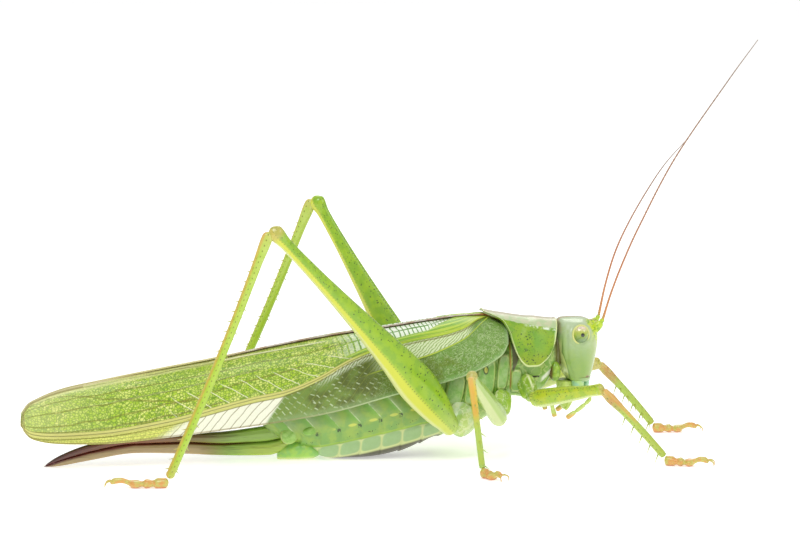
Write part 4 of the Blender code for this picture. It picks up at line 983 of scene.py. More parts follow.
# Share of the sword's length: height of the groove, for the paint. A colour holds only 0 to 1, so the
# heights are divided by the scale.
GROOVE_HEIGHTS = (
    (0.0, 2.6), (0.1, 2.0), (0.285, 1.9), (0.46, 2.2), (0.64, 2.2), (0.818, 1.5), (0.93, 0.75), (1.0, 0.13),
)
GROOVE_SCALE = 4.0
UPPER_VALVE, LOWER_VALVE = (-5.6, -31.15), (-5.6, -31.3)
# Along X: lowest height, highest height, half width.
TAIL_PLATE = ((-2.4, 0.3, 1.6, 1.3), (-2.9, 0.1, 1.8, 1.5), (-3.6, 0.05, 2.1, 1.65), (-5.2, 0.0, 2.0, 1.35),
              (-6.3, 0.08, 1.5, 0.8), (-6.7, 0.15, 1.1, 0.4))
CERCUS = ((-7.3, 0.95, 5.25), (-8.8, 1.35, 5.1), (-9.8, 1.5, 4.9), (-10.8, 1.45, 4.6))
CERCUS_SIZES = ((0.0, 0.42), (0.4, 0.44), (0.75, 0.32), (1.0, 0.1))
# The flaps over the sword's root: middle, half sizes, and how far they lean back in degrees.
ROOT_FLAPS = (((-5.7, 1.6, 2.8), (0.95, 0.5, 0.95), 25.0), ((-3.5, 2.35, 3.4), (0.9, 0.45, 0.5), -12.0))


def valve_skin(lower):
    start, end = LOWER_VALVE if lower else UPPER_VALVE

    def skin(u, v):
        x = start + (end - start) * u
        low, groove, high, half = between(SWORD, x)
        bottom, top = (low, groove - SWORD_SLIT) if lower else (groove + SWORD_SLIT, high)
        top = max(top, bottom + 0.1)
        fade = dome(clamp((x - end) / 1.2))
        turn = 2 * math.pi * v
        middle, reach = (bottom + top) / 2, (top - bottom) / 2 * fade
        middle += (groove - middle) * (1 - fade)
        y = half * power(math.cos(turn), 0.8) * fade
        z = middle + reach * power(math.sin(turn), 0.6)
        share = (z - bottom) / (top - bottom)
        y *= 1.0 - 0.16 * hump(share, 0.42, 0.12) - 0.1 * hump(share, 0.75, 0.1)
        return Vector((x, y, max(z, 0.0)))

    return skin


sword = Paint("sword_horn", 0.2, coat=0.6)
sword_colour = sword.ramp(
    sword.slide(sword.x, -6.0, -31.3, 0.0, 1.0),
    (0.0, tint(150, 184, 72)), (0.22, tint(142, 178, 66)), (0.34, tint(128, 122, 44)),
    (0.46, tint(136, 98, 50)), (0.62, tint(140, 84, 54)), (0.85, tint(104, 56, 40)), (1.0, tint(60, 30, 32)),
)
sword_groove = sword.ramp(
    sword.slide(sword.x, -5.0, -31.3, 0.0, 1.0),
    *[(share, (height / GROOVE_SCALE,) * 3 + (1.0,)) for share, height in GROOVE_HEIGHTS],
)
groove_height = sword.times(sword.step("SeparateColor", {0: sword_groove}), GROOVE_SCALE)
from_groove = sword.minus(sword.z, groove_height)
tan = sword.times(sword.rise(from_groove, -0.05, -0.35), sword.rise(sword.x, -12.0, -16.0))
sword_colour = sword.mix(sword.times(tan, 0.85), sword_colour, tint(184, 160, 112))
upper_dark = sword.times(sword.rise(from_groove, 0.45, 0.75), sword.rise(sword.x, -9.0, -15.0))
sword_colour = sword.mix(sword.times(upper_dark, 0.6), sword_colour, tint(86, 50, 34))
red_edge = sword.times(sword.line(from_groove, 0.0, 0.08, 0.1), sword.rise(sword.x, -8.0, -12.0))
sword_colour = sword.mix(sword.times(red_edge, 0.7), sword_colour, tint(110, 44, 36))
yellow_base = sword.times(sword.rise(from_groove, -0.1, -0.5), sword.rise(sword.x, -12.0, -8.0))
sword_colour = sword.mix(sword.times(yellow_base, 0.7), sword_colour, tint(186, 206, 70))
streak_place = sword.join(sword.times(sword.x, 0.5), sword.y, sword.times(sword.z, 7.0))
sword_streaks = sword.noise(1.0, 3.0, streak_place)
sword_colour = sword.layer(sword_colour, sword.rise(sword_streaks, 0.52, 0.7), 0.35, tint(80, 62, 34))
sword_material = sword.finish(sword_colour, sword_streaks, 0.2, 0.03)

for valve_name, lower in (("upper", False), ("lower", True)):
    valve = rolled(f"sword_{valve_name}", 170, 40, valve_skin(lower))
    mount(valve, "sword", sword_material, f"ovipositor_{valve_name}")


def tail_plate_skin(u, v):
    front, back = TAIL_PLATE[0][0], TAIL_PLATE[-1][0]
    x = (front + back) / 2 + math.cos(math.pi * u) * (front - back) / 2
    low, high, half = between(TAIL_PLATE, x)
    if u in (0.0, 1.0):
        low = high = (low + high) / 2
        half = 0.0
    turn = 2 * math.pi * v
    keel = 0.12 * hump(abs(math.cos(turn)), 0.0, 0.3) * (math.sin(turn) < 0)
    z = (low + high) / 2 + (high - low) / 2 * power(math.sin(turn), 0.9) - keel
    rib = 1.0 - 0.05 * hump(x, -4.3, 0.3) - 0.05 * hump(x, -5.6, 0.25)
    return Vector((x, half * rib * power(math.cos(turn), 0.9), max(z, 0.0)))


plate_horn = Paint("tail_plate_horn", 0.28, coat=0.45)
plate_clouds = plate_horn.rise(plate_horn.noise(1.2, 4.0), 0.4, 0.6)
plate_colour = plate_horn.mix(plate_clouds, tint(140, 196, 96), tint(166, 208, 84))
plate_colour = plate_horn.mix(plate_horn.rise(plate_horn.z, 0.45, 0.15), plate_colour, tint(206, 220, 130))
plate_material = plate_horn.finish(plate_colour, plate_horn.noise(5.0), 0.25, 0.04)
flap_horn = Paint("root_flap_horn", 0.28, coat=0.45)
flap_streaks = flap_horn.rise(flap_horn.noise(1.6, 4.0), 0.4, 0.6)
flap_colour = flap_horn.mix(flap_streaks, tint(128, 178, 62), tint(160, 200, 96))
flap_rim = flap_horn.rise(flap_horn.absolute(flap_horn.y), 1.95, 1.75)
flap_colour = flap_horn.mix(flap_horn.times(flap_rim, 0.7), flap_colour, tint(204, 216, 128))
flap_material = flap_horn.finish(flap_colour, flap_horn.noise(5.0), 0.25, 0.04)
tail_plate = rolled("tail_plate", 60, 60, tail_plate_skin)
mount(tail_plate, "trunk", plate_material, "subgenital_plate")
for side, sign in SIDES:
    def cercus_sizes(share):
        return (between(CERCUS_SIZES, share)[0],) * 3

    flaps = []
    for flap_middle, flap_size, flap_lean in ROOT_FLAPS:
        flap_turn = Quaternion((0.0, 1.0, 0.0), math.radians(flap_lean))
        flaps.append(ball("root_flap", mirrored(flap_middle, sign), flap_size, turn=flap_turn))
    mount(joined(f"root_flaps_{side}", flaps), "trunk", flap_material)
    cercus_path = smooth_path([mirrored(p, sign) for p in CERCUS])
    cercus = limb(f"tail_cercus_{side}", cercus_path, cercus_sizes, ACROSS, 40, 24, 0.05, even=True)
    mount(cercus, "trunk", plate_material, f"cercus_{side}")

# The front wings: leathery sheets roofed over the back, the left one over the right. Raised veins run
# along them, thin slanted ones cross them, and a fine net fills the fields between. The fields beside
# the thorax are dark and close, and a clear window lies along the lower edge.

# Along X: height of the ridge, height of the low edge, half width, squareness of the arch.
WING = (
    (17.6, 14.2, 12.0, 2.7, 2.2), (17.0, 14.4, 11.05, 3.1, 2.3), (16.2, 14.65, 10.45, 3.4, 2.4),
    (15.2, 14.8, 9.9, 3.7, 2.4), (13.5, 14.8, 9.2, 4.1, 2.5), (10.0, 14.5, 8.2, 4.35, 2.5),
    (5.3, 13.9, 7.2, 4.4, 2.4), (-1.0, 13.15, 5.6, 4.2, 2.3),
    (-6.0, 12.4, 4.7, 3.7, 2.2), (-12.0, 11.3, 3.9, 3.0, 2.1),
    (-19.3, 10.05, 3.1, 2.45, 2.0), (-25.6, 8.9, 2.65, 2.05, 1.9), (-29.7, 8.05, 2.75, 1.8, 1.9),
    (-31.8, 7.3, 3.05, 1.6, 1.9), (-32.9, 6.7, 3.5, 1.5, 1.9), (-33.5, 5.9, 4.2, 1.45, 1.9),
)
WING_FRONT, WING_TIP, WING_WALL = 17.6, -33.5, 0.13
RING_CROWDING = 1.08
# The doubled main vein, as a share of the way from the ridge to the low edge.
MAIN_VEIN = (
    (17.6, 0.06), (16.2, 0.1), (14.6, 0.22), (13.1, 0.38), (11.6, 0.44), (10.1, 0.46), (6.8, 0.47),
    (3.0, 0.51), (0.5, 0.57), (-2.8, 0.69), (-6.3, 0.76), (-9.9, 0.77), (-13.5, 0.8), (-17.2, 0.84),
    (-21.0, 0.86), (-33.5, 0.9),
)
# A wing's fields are counted from 0 at the ridge over 1 at the main vein to 2 at the low edge. Along X:
# where the vein above the grainy front field lies, and the top of the thick stem.
FRONT_VEIN = (
    (17.6, 1.0), (16.0, 1.02), (14.6, 1.16), (13.1, 1.27), (11.0, 1.36), (8.9, 1.44), (4.0, 1.5), (-3.0, 1.5),
)
STEM_TOP = ((17.6, 0.1), (12.4, 0.12), (11.2, 0.3), (9.0, 0.68), (4.0, 0.8), (0.0, 0.88), (-4.0, 0.9))
UNDERLAP, PAST_MIDDLE = 0.17, 0.45
CROSSING_END, CROSSING_EASE = -28.0, 14.0
# Raised veins: field, half width, height, and where they start and end.
RAISED_VEINS = (
    (0.0, 0.14, 0.1, 17.0, -33.0), (0.95, 0.15, 0.13, 17.0, -33.0), (1.05, 0.15, 0.13, 17.0, -33.0),
    (0.62, 0.11, 0.07, -2.0, -30.0), (0.42, 0.1, 0.07, 12.0, -28.0), (0.2, 0.1, 0.06, 11.0, -30.0),
    (1.98, 0.12, 0.07, 17.0, -33.0),
)
FRONT_VEIN_WIDTH, FRONT_VEIN_RISE, STEM_RISE = 0.16, 0.12, 0.1
# Brown veins of the outer part: start along X and field, end along X and field, and how they bend.
LONG_VEINS = (
    (-3.0, 0.7, -31.5, 0.86, 1.0), (-15.0, 0.81, -30.0, 0.28, 1.5), (2.0, 0.5, -31.0, 0.42, 1.0),
    (-2.0, 0.3, -31.0, 0.14, 1.0), (-8.0, 0.6, -30.0, 0.62, 1.0), (-12.0, 0.93, -33.0, 0.95, 1.0),
)


def arch_angle(field, main):
    """The angle on a wing's arch at which a field lies, for the main vein's share of the way."""
    share = field * main if field < 1 else main + (field - 1) * (1 - main)
    return share * math.pi / 2


def wing_point(x, field, sign, underlap):
    """A place on a front wing's outer face."""
    top, low, half, squareness = between(WING, x)
    cover = clamp((x - CROSSING_END) / CROSSING_EASE)
    sunk = underlap * clamp((x - CROSSING_END + 4.0) / 12.0)
    top -= sunk
    half -= sunk * 0.35
    main = between(MAIN_VEIN, x)[0]
    angle = arch_angle(field, main)
    away, z = arch(top, top - low, half, angle, squareness)
    start = PAST_MIDDLE * cover - 0.2 * (1 - cover)
    blend_end = arch(top, top - low, half, 0.35 * math.pi / 2, squareness)[0]
    if away < blend_end:
        away = -start + (blend_end + start) * away / blend_end
    around = top - low + half
    lift = 0.0
    tip_fade = clamp((x - WING_TIP) / 2.0)
    for vein, width, height, vein_start, vein_end in RAISED_VEINS:
        span = around * (main if vein <= 1 and field <= 1 else 1 - main)
        fade = clamp((vein_start - x) / 2.0) * clamp((x - vein_end) / 4.0) * tip_fade
        lift += height * fade * hump((field - vein) * span, 0.0, width)
    if x > 0.0:
        front_vein = (field - between(FRONT_VEIN, x)[0]) * around * (1 - main)
        lift += FRONT_VEIN_RISE * clamp(x / 4.0) * hump(front_vein, 0.0, FRONT_VEIN_WIDTH)
        above_stem = (field - between(STEM_TOP, x)[0]) * around * main
        if field < 0.97:
            lift += STEM_RISE * clamp(x / 4.0) * clamp(above_stem / 0.2)
    outward = Vector((0, math.sin(angle), math.cos(angle)))
    return mirrored(Vector((x, away, z)) + outward * lift, sign)


def wing_place(u, front=WING_FRONT, tip=WING_TIP):
    """Where along X a ring of a wing's skin lies: rings stand closer at the tip."""
    return front + (tip - front) * math.sin(u * math.pi / 2) ** RING_CROWDING


def from_margin(x, z):
    """How far a place on a wing is from the wing's outline as it is seen from the side."""
    top, low = between(WING, x)[:2]
    ahead, behind = between(WING, x + 0.1), between(WING, x - 0.1)
    low_slope, top_slope = (ahead[1] - behind[1]) / 0.2, (ahead[0] - behind[0]) / 0.2
    from_low = (z - low) / math.hypot(1.0, low_slope)
    from_top = (top - z) / math.hypot(1.0, top_slope) if x < -27.0 else 9.0
    return max(min(from_low, from_top, x - WING_TIP, WING_FRONT - x), 0.0)


def wing_sheet(name, sign, underlap, along, across):
    """A wing with three charts: its fields, the place along it and below the main vein, and how far it
    is from the front vein and from the margin."""
    def skin(u, v):
        return wing_point(wing_place(u), 2 * v, sign, underlap)

    wing = rolled(name, along, across, skin, tube=False)
    fields = wing.data.uv_layers[0]
    fields.name = "fields"
    flat = wing.data.uv_layers.new(name="flat")
    edges = wing.data.uv_layers.new(name="edges")
    rows = {}
    for corner, flat_corner, edge_corner in zip(fields.data, flat.data, edges.data):
        u, field = corner.uv.x, 2 * corner.uv.y
        key = round(u * along)
        if key not in rows:
            x = wing_place(u)
            rows[key] = (x, between(WING, x), between(MAIN_VEIN, x)[0], between(FRONT_VEIN, x)[0], {})
        x, (top, low, half, squareness), main, front_vein, margins = rows[key]
        around = top - low + half
        from_main = (field - 1) * (main if field < 1 else 1 - main) * around
        flat_corner.uv = (x / CHART, from_main / CHART)
        level = round(corner.uv.y * across)
        if level not in margins:
            angle = arch_angle(field, main)
            margins[level] = from_margin(x, arch(top, top - low, half, angle, squareness)[1])
        edge_corner.uv = ((field - front_vein) * (1 - main) * around / CHART, margins[level] / CHART)
    return walled(facing_out(wing, (-5.0, 0.0, 6.0)), WING_WALL)


def wing_paint(name):
    """Both front wings are coloured alike."""
    paint = Paint(name, 0.42, coat=0.15)
    _, field_half = paint.chart("fields")
    field = paint.times(field_half, 2.0)
    flat_x, flat_y = paint.chart("flat")
    x, down = paint.times(flat_x, CHART), paint.times(flat_y, CHART)
    front_x, margin_x = paint.chart("edges")
    below_front, inside = paint.times(front_x, CHART), paint.times(margin_x, CHART)
    lower = paint.rise(field, 0.99, 1.01)
    wobble = paint.minus(paint.noise(0.35, 2.0), 0.5)
    fine_wobble = paint.minus(paint.noise(1.1, 2.0), 0.5)
    spot = paint.join(paint.times(x, 0.85), paint.plus(down, paint.times(wobble, 0.3)), 0.0)
    net = paint.cells(3.9, place=spot, feature="DISTANCE_TO_EDGE", spread=0.8)
    net_line = paint.rise(net, 0.14, 0.05)
    cell_shade = paint.step("SeparateColor", {0: paint.cells(3.9, "Color", place=spot, spread=0.8)})
    # The fine net of the outer part: pale cells between leaf-green lines.
    light = paint.rise(cell_shade, 0.2, 0.7)
    outer = paint.mix(light, tint(172, 202, 44), tint(220, 228, 120))
    broad = paint.rise(paint.noise(0.22, 3.0), 0.4, 0.6)
    outer = paint.mix(paint.times(broad, 0.5), outer, tint(168, 202, 50))
    outer = paint.mix(paint.times(net_line, 0.85), outer, tint(98, 138, 14))
    pale_end = paint.rise(x, -22.0, -33.0)
    outer = paint.mix(paint.times(pale_end, 0.35), outer, tint(220, 224, 150))
    pale_top = paint.times(paint.line(field, 0.16, 0.07, 0.06), paint.rise(x, -4.0, -14.0))
    outer = paint.mix(paint.times(pale_top, 0.6), outer, tint(226, 226, 156))
    # The ladder before the hind legs: clear cells between green rungs, in two rows that taper forwards.
    rungs = paint.plus(paint.plus(x, paint.times(down, -0.1)), paint.times(fine_wobble, 0.35))
    rungs = paint.fract(paint.times(rungs, paint.slide(x, 6.0, 12.0, 1.6, 2.0)))
    rung = paint.rise(paint.absolute(paint.minus(rungs, 0.5)), 0.33, 0.41)
    stem_low = paint.slide(x, 0.0, 9.0, 0.88, 0.68)
    stem_top = paint.minus(stem_low, paint.slide(x, 9.0, 12.4, 0.0, 0.56))
    above_stem = paint.minus(field, stem_top)
    rail = paint.line(paint.minus(field, paint.times(stem_top, 0.62)), 0.0, 0.012, 0.02)
    ladder = paint.mix(paint.most(rung, rail), tint(226, 236, 214), tint(92, 146, 36))
    ladder_share = paint.times(paint.rise(above_stem, 0.0, -0.03), paint.rise(field, 0.13, 0.17))
    ladder_share = paint.times(ladder_share, paint.rise(x, -2.0, 4.0))
    outer = paint.mix(ladder_share, outer, ladder)
    # Thick green stems of the main veins run out of the shoulder.
    stem = paint.times(paint.rise(above_stem, -0.02, 0.02), paint.rise(x, -3.0, 2.0))
    streak_spot = paint.join(paint.times(x, 0.12), paint.times(down, 2.6))
    streak = paint.rise(paint.noise(1.0, 2.0, streak_spot), 0.42, 0.6)
    stem_colour = paint.mix(streak, tint(122, 172, 16), tint(184, 208, 60))
    stem_colour = paint.layer(stem_colour, paint.line(down, -0.32, 0.02, 0.06), 0.8, tint(80, 122, 20))
    stem_colour = paint.layer(stem_colour, paint.rise(x, 12.4, 14.0), 0.35, tint(206, 212, 90))
    outer = paint.mix(stem, outer, stem_colour)
    # The grainy field at the shoulder: fine pale winding grains on green, painted pale partly as the glints
    # of the grains, with a pale row above it.
    grain_and_glints = paint.line(paint.noise(3.4, 3.0, spot), 0.5, 0.008, 0.035)
    grain_and_glints = paint.times(grain_and_glints, paint.rise(paint.noise(1.5, 2.0), 0.34, 0.56))
    spots = paint.rise(paint.cells(4.4, place=spot), 0.24, 0.1)
    grain_and_glints = paint.times(paint.most(grain_and_glints, paint.times(spots, 0.8)), paint.rise(below_front, 0.1, 0.3))
    shade = paint.rise(paint.plus(paint.noise(0.55, 4.0), paint.times(paint.minus(x, 9.0), 0.035)), 0.4, 0.62)
    shoulder = paint.mix(shade, tint(104, 132, 22), tint(108, 148, 52))
    dark_grain = paint.rise(paint.noise(2.9, 4.0), 0.52, 0.66)
    shoulder = paint.layer(shoulder, dark_grain, 0.5, tint(76, 104, 18))
    shoulder = paint.layer(shoulder, grain_and_glints, paint.slide(x, 5.0, 13.0, 0.45, 0.8), tint(196, 216, 158))
    shoulder = paint.layer(shoulder, paint.rise(inside, 0.7, 0.1), 0.5, tint(146, 190, 120))
    hatch = paint.fract(paint.times(paint.plus(paint.plus(x, paint.times(down, 0.9)), fine_wobble), 2.2))
    hatch = paint.rise(paint.absolute(paint.minus(hatch, 0.5)), 0.28, 0.38)
    pale_row = paint.times(paint.rise(below_front, -0.08, -0.2), paint.rise(x, 14.2, 12.8))
    rows = paint.mix(hatch, tint(214, 226, 180), tint(142, 172, 80))
    shoulder = paint.mix(pale_row, shoulder, rows)
    # The olive field behind it, crossed by slanted veins with short whitish dashes between them.
    slanted = paint.times(paint.plus(paint.plus(x, paint.times(down, 1.3)), paint.times(wobble, 0.8)), 0.85)
    slant = paint.fract(slanted)
    slant_vein = paint.rise(paint.absolute(paint.minus(slant, 0.5)), 0.42, 0.47)
    column = paint.step("TexWhiteNoise", {"W": paint.maths("FLOOR", slanted)}, 0, noise_dimensions="1D")
    steps = paint.plus(paint.times(paint.minus(down, x), 1.3), column)
    dash = paint.line(paint.fract(paint.plus(steps, paint.times(fine_wobble, 0.7))), 0.5, 0.05, 0.07)
    dash = paint.times(dash, paint.times(paint.rise(slant, 0.08, 0.2), paint.rise(slant, 0.92, 0.8)))
    dark_olive = paint.rise(paint.plus(paint.noise(0.5, 3.0), paint.times(x, 0.04)), 0.35, 0.6)
    olive = paint.mix(dark_olive, tint(112, 140, 52), tint(84, 98, 22))
    olive = paint.mix(paint.times(grain_and_glints, 0.25), olive, tint(150, 170, 90))
    dash_share = paint.times(dash, paint.rise(paint.noise(0.8, 3.0), 0.42, 0.58))
    olive = paint.mix(paint.times(dash_share, 0.75), olive, tint(204, 218, 176))
    olive = paint.mix(paint.times(slant_vein, 0.55), olive, tint(140, 150, 50))
    olive = paint.mix(paint.times(paint.rise(inside, 0.9, 0.2), 0.65), olive, tint(142, 168, 108))
    white_cells = paint.times(paint.rise(down, 1.3, 0.5), paint.rise(x, -4.0, -1.0))
    olive_rows = paint.mix(hatch, tint(226, 232, 204), tint(112, 138, 50))
    olive = paint.layer(olive, white_cells, 0.75, olive_rows)
    # The clear window behind that, and the close yellow rows that lead to the tip.
    window = paint.mix(paint.times(slant_vein, 0.75), tint(242, 242, 220), tint(130, 118, 48))
    window = paint.mix(paint.rise(down, 0.42, 0.3), window, tint(210, 214, 112))
    window_edge = paint.plus(x, paint.times(paint.minus(field, 1.08), 2.3))
    below = paint.mix(paint.rise(x, 2.0, 5.0), olive, shoulder)
    below = paint.mix(paint.rise(window_edge, -6.1, -6.6), below, window)
    tip_rows = paint.rise(paint.plus(x, paint.times(down, 2.4)), -14.5, -17.5)
    tip_line = paint.line(paint.fract(paint.times(field, 4.0)), 0.5, 0.05, 0.06)
    tip_colour = paint.mix(paint.times(net_line, 0.5), tint(222, 226, 112), tint(140, 160, 40))
    below = paint.mix(tip_rows, below, paint.mix(paint.times(tip_line, 0.7), tip_colour, tint(134, 128, 50)))
    colour = paint.mix(lower, outer, below)
    # Long brown veins part and run to the tip, white ones cross the upper field.
    for start, first_field, end, last_field, bend in LONG_VEINS:
        share = paint.slide(x, start, end, 0.0, 1.0)
        path = paint.plus(paint.times(paint.power(share, bend), last_field - first_field), first_field)
        path = paint.plus(path, paint.times(wobble, 0.09))
        line = paint.line(paint.minus(field, path), 0.0, 0.006, 0.012)
        line = paint.times(line, paint.rise(share, 0.0, 0.06))
        colour = paint.mix(paint.times(line, 0.6), colour, tint(116, 114, 22))
    white_top = paint.line(paint.plus(field, paint.times(x, -0.008)), 0.3, 0.008, 0.016)
    white_top = paint.times(white_top, paint.times(paint.rise(x, -1.0, -3.0), paint.rise(x, -19.0, -16.0)))
    colour = paint.mix(paint.times(white_top, 0.8), colour, tint(232, 232, 186))
    cross = paint.fract(paint.times(paint.plus(paint.minus(x, paint.times(down, 1.1)), wobble), 0.55))
    cross_line = paint.times(paint.line(cross, 0.5, 0.02, 0.025), paint.line(field, 0.84, 0.12, 0.06))
    cross_line = paint.times(cross_line, paint.times(paint.rise(x, 2.0, 0.0), paint.rise(x, -20.0, -16.0)))
    colour = paint.mix(paint.times(cross_line, 0.85), colour, tint(236, 236, 196))
    # The doubled main vein is cream with a brown line in its groove and below it.
    behind = paint.rise(x, 3.0, 0.0)
    colour = paint.mix(paint.times(paint.line(down, 0.0, 0.22, 0.06), behind), colour, tint(212, 210, 120))
    dark_band = paint.most(paint.line(down, 0.02, 0.02, 0.05), paint.line(down, 0.36, 0.03, 0.05))
    dark_band = paint.most(dark_band, paint.times(paint.line(down, -0.26, 0.01, 0.05), 0.6))
    colour = paint.mix(paint.times(dark_band, 0.75), colour, tint(116, 110, 34))
    front_vein = paint.times(paint.line(below_front, 0.0, 0.05, 0.07), paint.rise(x, 1.0, 5.0))
    colour = paint.mix(front_vein, colour, tint(186, 206, 62))
    # The ridge is lilac and brown, brown lies under the saddle, and a fine line follows the margin.
    ridge = paint.mix(paint.rise(paint.noise(1.2), 0.4, 0.6), tint(208, 196, 190), tint(178, 148, 128))
    ridge = paint.mix(paint.rise(x, -6.0, -16.0), ridge, tint(214, 206, 150))
    colour = paint.mix(paint.rise(field, 0.12, 0.07), colour, ridge)
    ridge_line = paint.times(paint.line(field, 0.1, 0.01, 0.02), paint.rise(x, -16.0, -4.0))
    colour = paint.mix(paint.times(ridge_line, 0.5), colour, tint(170, 136, 108))
    margin_colour = paint.mix(paint.rise(x, -10.0, 4.0), tint(140, 120, 62), tint(206, 222, 170))
    colour = paint.mix(paint.times(paint.line(inside, 0.1, 0.05, 0.06), 0.6), colour, margin_colour)
    root = paint.times(paint.rise(x, 14.2, 15.6), paint.rise(field, 0.4, 0.1))
    colour = paint.mix(root, colour, tint(180, 108, 52))
    shape = paint.plus(net_line, paint.times(slant_vein, paint.times(lower, 1.2)))
    shape = paint.plus(shape, paint.times(paint.most(rung, rail), paint.times(ladder_share, 1.5)))
    shape = paint.plus(shape, paint.times(grain_and_glints, paint.times(lower, paint.rise(x, 2.0, 5.0))))
    return paint.finish(colour, shape, 0.45, 0.06)


wing_leather = wing_paint("net_veined_leather")
right_wing = wing_sheet("wing_right", -1, UNDERLAP, 300, 110)
left_wing = wing_sheet("wing_left", 1, 0.0, 300, 110)
mount(right_wing, "front_wing", wing_leather, "tegmen_right")
mount(left_wing, "front_wing", wing_leather, "tegmen_left")

# The hind wings: clear membranes, folded like fans into narrow pleated strips under the front wings.

FOLD_FRONT, FOLD_TIP, FOLD_WALL, FOLD_INSET = 12.0, -29.0, 0.08, 0.9
PLEATS, PLEAT_DEPTH = 7, 0.09


def fold_skin(sign):
    def skin(u, v):
        x = wing_place(u, FOLD_FRONT, FOLD_TIP)
        top, low, half, squareness = between(WING, x)
        behind = clamp((-4.0 - x) / 8.0)
        inset = FOLD_INSET + UNDERLAP * (1 - 0.6 * behind)
        first, last = 0.12 + 0.23 * behind, 0.38 + 0.32 * behind - 0.1 * clamp((-22.0 - x) / 7.0)
        angle = (first + (last - first) * v) * math.pi / 2
        away, z = arch(top, top - low, half, angle, squareness)
        inward = Vector((0, -math.sin(angle), -math.cos(angle)))
        pleat = PLEAT_DEPTH * (0.5 - 0.5 * math.cos(2 * math.pi * PLEATS * v)) * clamp((x - FOLD_TIP) / 6.0)
        point = Vector((x, away, z)) + inward * (inset + pleat)
        point.y = max(point.y, 0.4)
        return mirrored(point, sign)

    return skin


film = Paint("folded_film", 0.3, coat=0.3)
film_across = film.chart("UVMap")[1]
film_rib = film.fract(film.times(film_across, float(PLEATS)))
film_rib = film.rise(film.absolute(film.minus(film_rib, 0.5)), 0.38, 0.48)
film_colour = film.mix(film.rise(film.noise(1.0), 0.4, 0.6), tint(196, 214, 160), tint(214, 226, 190))
film_colour = film.mix(film_rib, film_colour, tint(140, 160, 70))
film_material = film.finish(film_colour, film.noise(3.0), 0.3, 0.04)
for side, sign in SIDES:
    fold = rolled(f"folded_wing_{side}", 160, 84, fold_skin(sign), tube=False)
    fold = walled(facing_out(fold, (-5.0, 0.0, 5.0)), FOLD_WALL)
    mount(fold, "hind_wing", film_material, f"hindwing_{side}")

# The legs: a stout coxa, a thigh, a thin spined shin with its fork at the knee, and a padded foot
# with two hooked claws. All are tubes of green horn; the hind thighs are swollen for leaping.

# Share of the way along: reach to the upper side, to the lower side, half width.
HIND_FEMUR = (
    (0.0, 0.75, 0.75, 0.7), (0.05, 1.35, 1.1, 0.95), (0.12, 2.0, 1.45, 1.15), (0.22, 2.45, 1.65, 1.2),
    (0.35, 2.15, 1.2, 1.05), (0.5, 1.65, 0.8, 0.85), (0.65, 1.2, 0.6, 0.7), (0.8, 0.85, 0.5, 0.58),
    (0.92, 0.7, 0.55, 0.5), (0.975, 0.85, 0.75, 0.6), (1.0, 0.6, 0.55, 0.42),
)
MID_FEMUR = (
    (0.0, 0.8, 0.8, 0.75), (0.1, 1.12, 1.1, 0.95), (0.3, 1.06, 1.02, 0.9), (0.6, 0.82, 0.8, 0.7),
    (0.85, 0.62, 0.6, 0.5), (0.95, 0.64, 0.62, 0.52), (1.0, 0.45, 0.45, 0.36),
)
FRONT_FEMUR = (
    (0.0, 0.8, 0.8, 0.7), (0.12, 1.02, 0.98, 0.8), (0.3, 1.0, 0.95, 0.78), (0.6, 0.82, 0.78, 0.64),
    (0.85, 0.64, 0.62, 0.5), (0.95, 0.66, 0.64, 0.52), (1.0, 0.45, 0.45, 0.36),
)
HIND_TIBIA = (
    (0.0, 0.5, 0.6, 0.42), (0.04, 0.58, 0.65, 0.46), (0.12, 0.5, 0.52, 0.42), (0.5, 0.46, 0.46, 0.4),
    (0.92, 0.44, 0.44, 0.4), (1.0, 0.5, 0.5, 0.46),
)
MID_TIBIA = (
    (0.0, 0.45, 0.45, 0.38), (0.1, 0.46, 0.46, 0.4), (0.4, 0.38, 0.38, 0.33), (1.0, 0.36, 0.36, 0.33),
)
FRONT_TIBIA = (
    (0.0, 0.42, 0.45, 0.4), (0.08, 0.45, 0.48, 0.48), (0.18, 0.46, 0.48, 0.5), (0.32, 0.42, 0.42, 0.4),
    (1.0, 0.4, 0.4, 0.36),
)
# Share of the way along the foot: lowest height, highest height, half width.
TARSUS = (
    (0.0, 0.2, 0.95, 0.42), (0.08, 0.0, 1.05, 0.5), (0.2, 0.0, 1.0, 0.58), (0.27, 0.15, 0.8, 0.42),
    (0.38, 0.0, 0.9, 0.6), (0.45, 0.15, 0.7, 0.42), (0.55, 0.0, 0.8, 0.74), (0.63, 0.05, 0.8, 0.6),
    (0.69, 0.3, 0.85, 0.3), (0.81, 0.5, 1.05, 0.27), (0.93, 0.4, 1.0, 0.3), (1.0, 0.3, 0.8, 0.3),
)
# Points of a claw from its root on the foot: forwards, aside, up.
CLAW_HOOK = ((0.0, 0.0, 0.0), (0.35, 0.3, 0.12), (0.75, 0.55, -0.1), (0.8, 0.5, -0.5))
# Rows of spines: how many, first and last share of the shin, turn away from its upper side in
# degrees, length, and how far they lean to the foot.
HIND_SPINES = ((22, 0.1, 0.95, 32, 0.4, 0.6), (22, 0.12, 0.96, -32, 0.4, 0.6), (8, 0.3, 0.96, 165, 0.35, 0.5),
               (8, 0.33, 0.95, -165, 0.35, 0.5))
MID_SPINES = ((5, 0.25, 0.96, 150, 0.8, 0.6), (5, 0.3, 0.93, -150, 0.8, 0.6), (3, 0.3, 0.7, 20, 0.6, 0.6))
FRONT_SPINES = ((5, 0.34, 0.96, 150, 1.0, 0.6), (5, 0.38, 0.93, -150, 1.0, 0.6))
SPINE_RADIUS, SPINE_TIP_RADIUS, SPINE_REST = 0.09, 0.015, 0.28
KNEE_AHEAD, KNEE_BELOW = -0.15, {"hind": 0.4, "mid": 0.15, "front": 0.15}
TIBIA_BOW = {"hind": -0.3, "mid": -0.1, "front": 0.15}
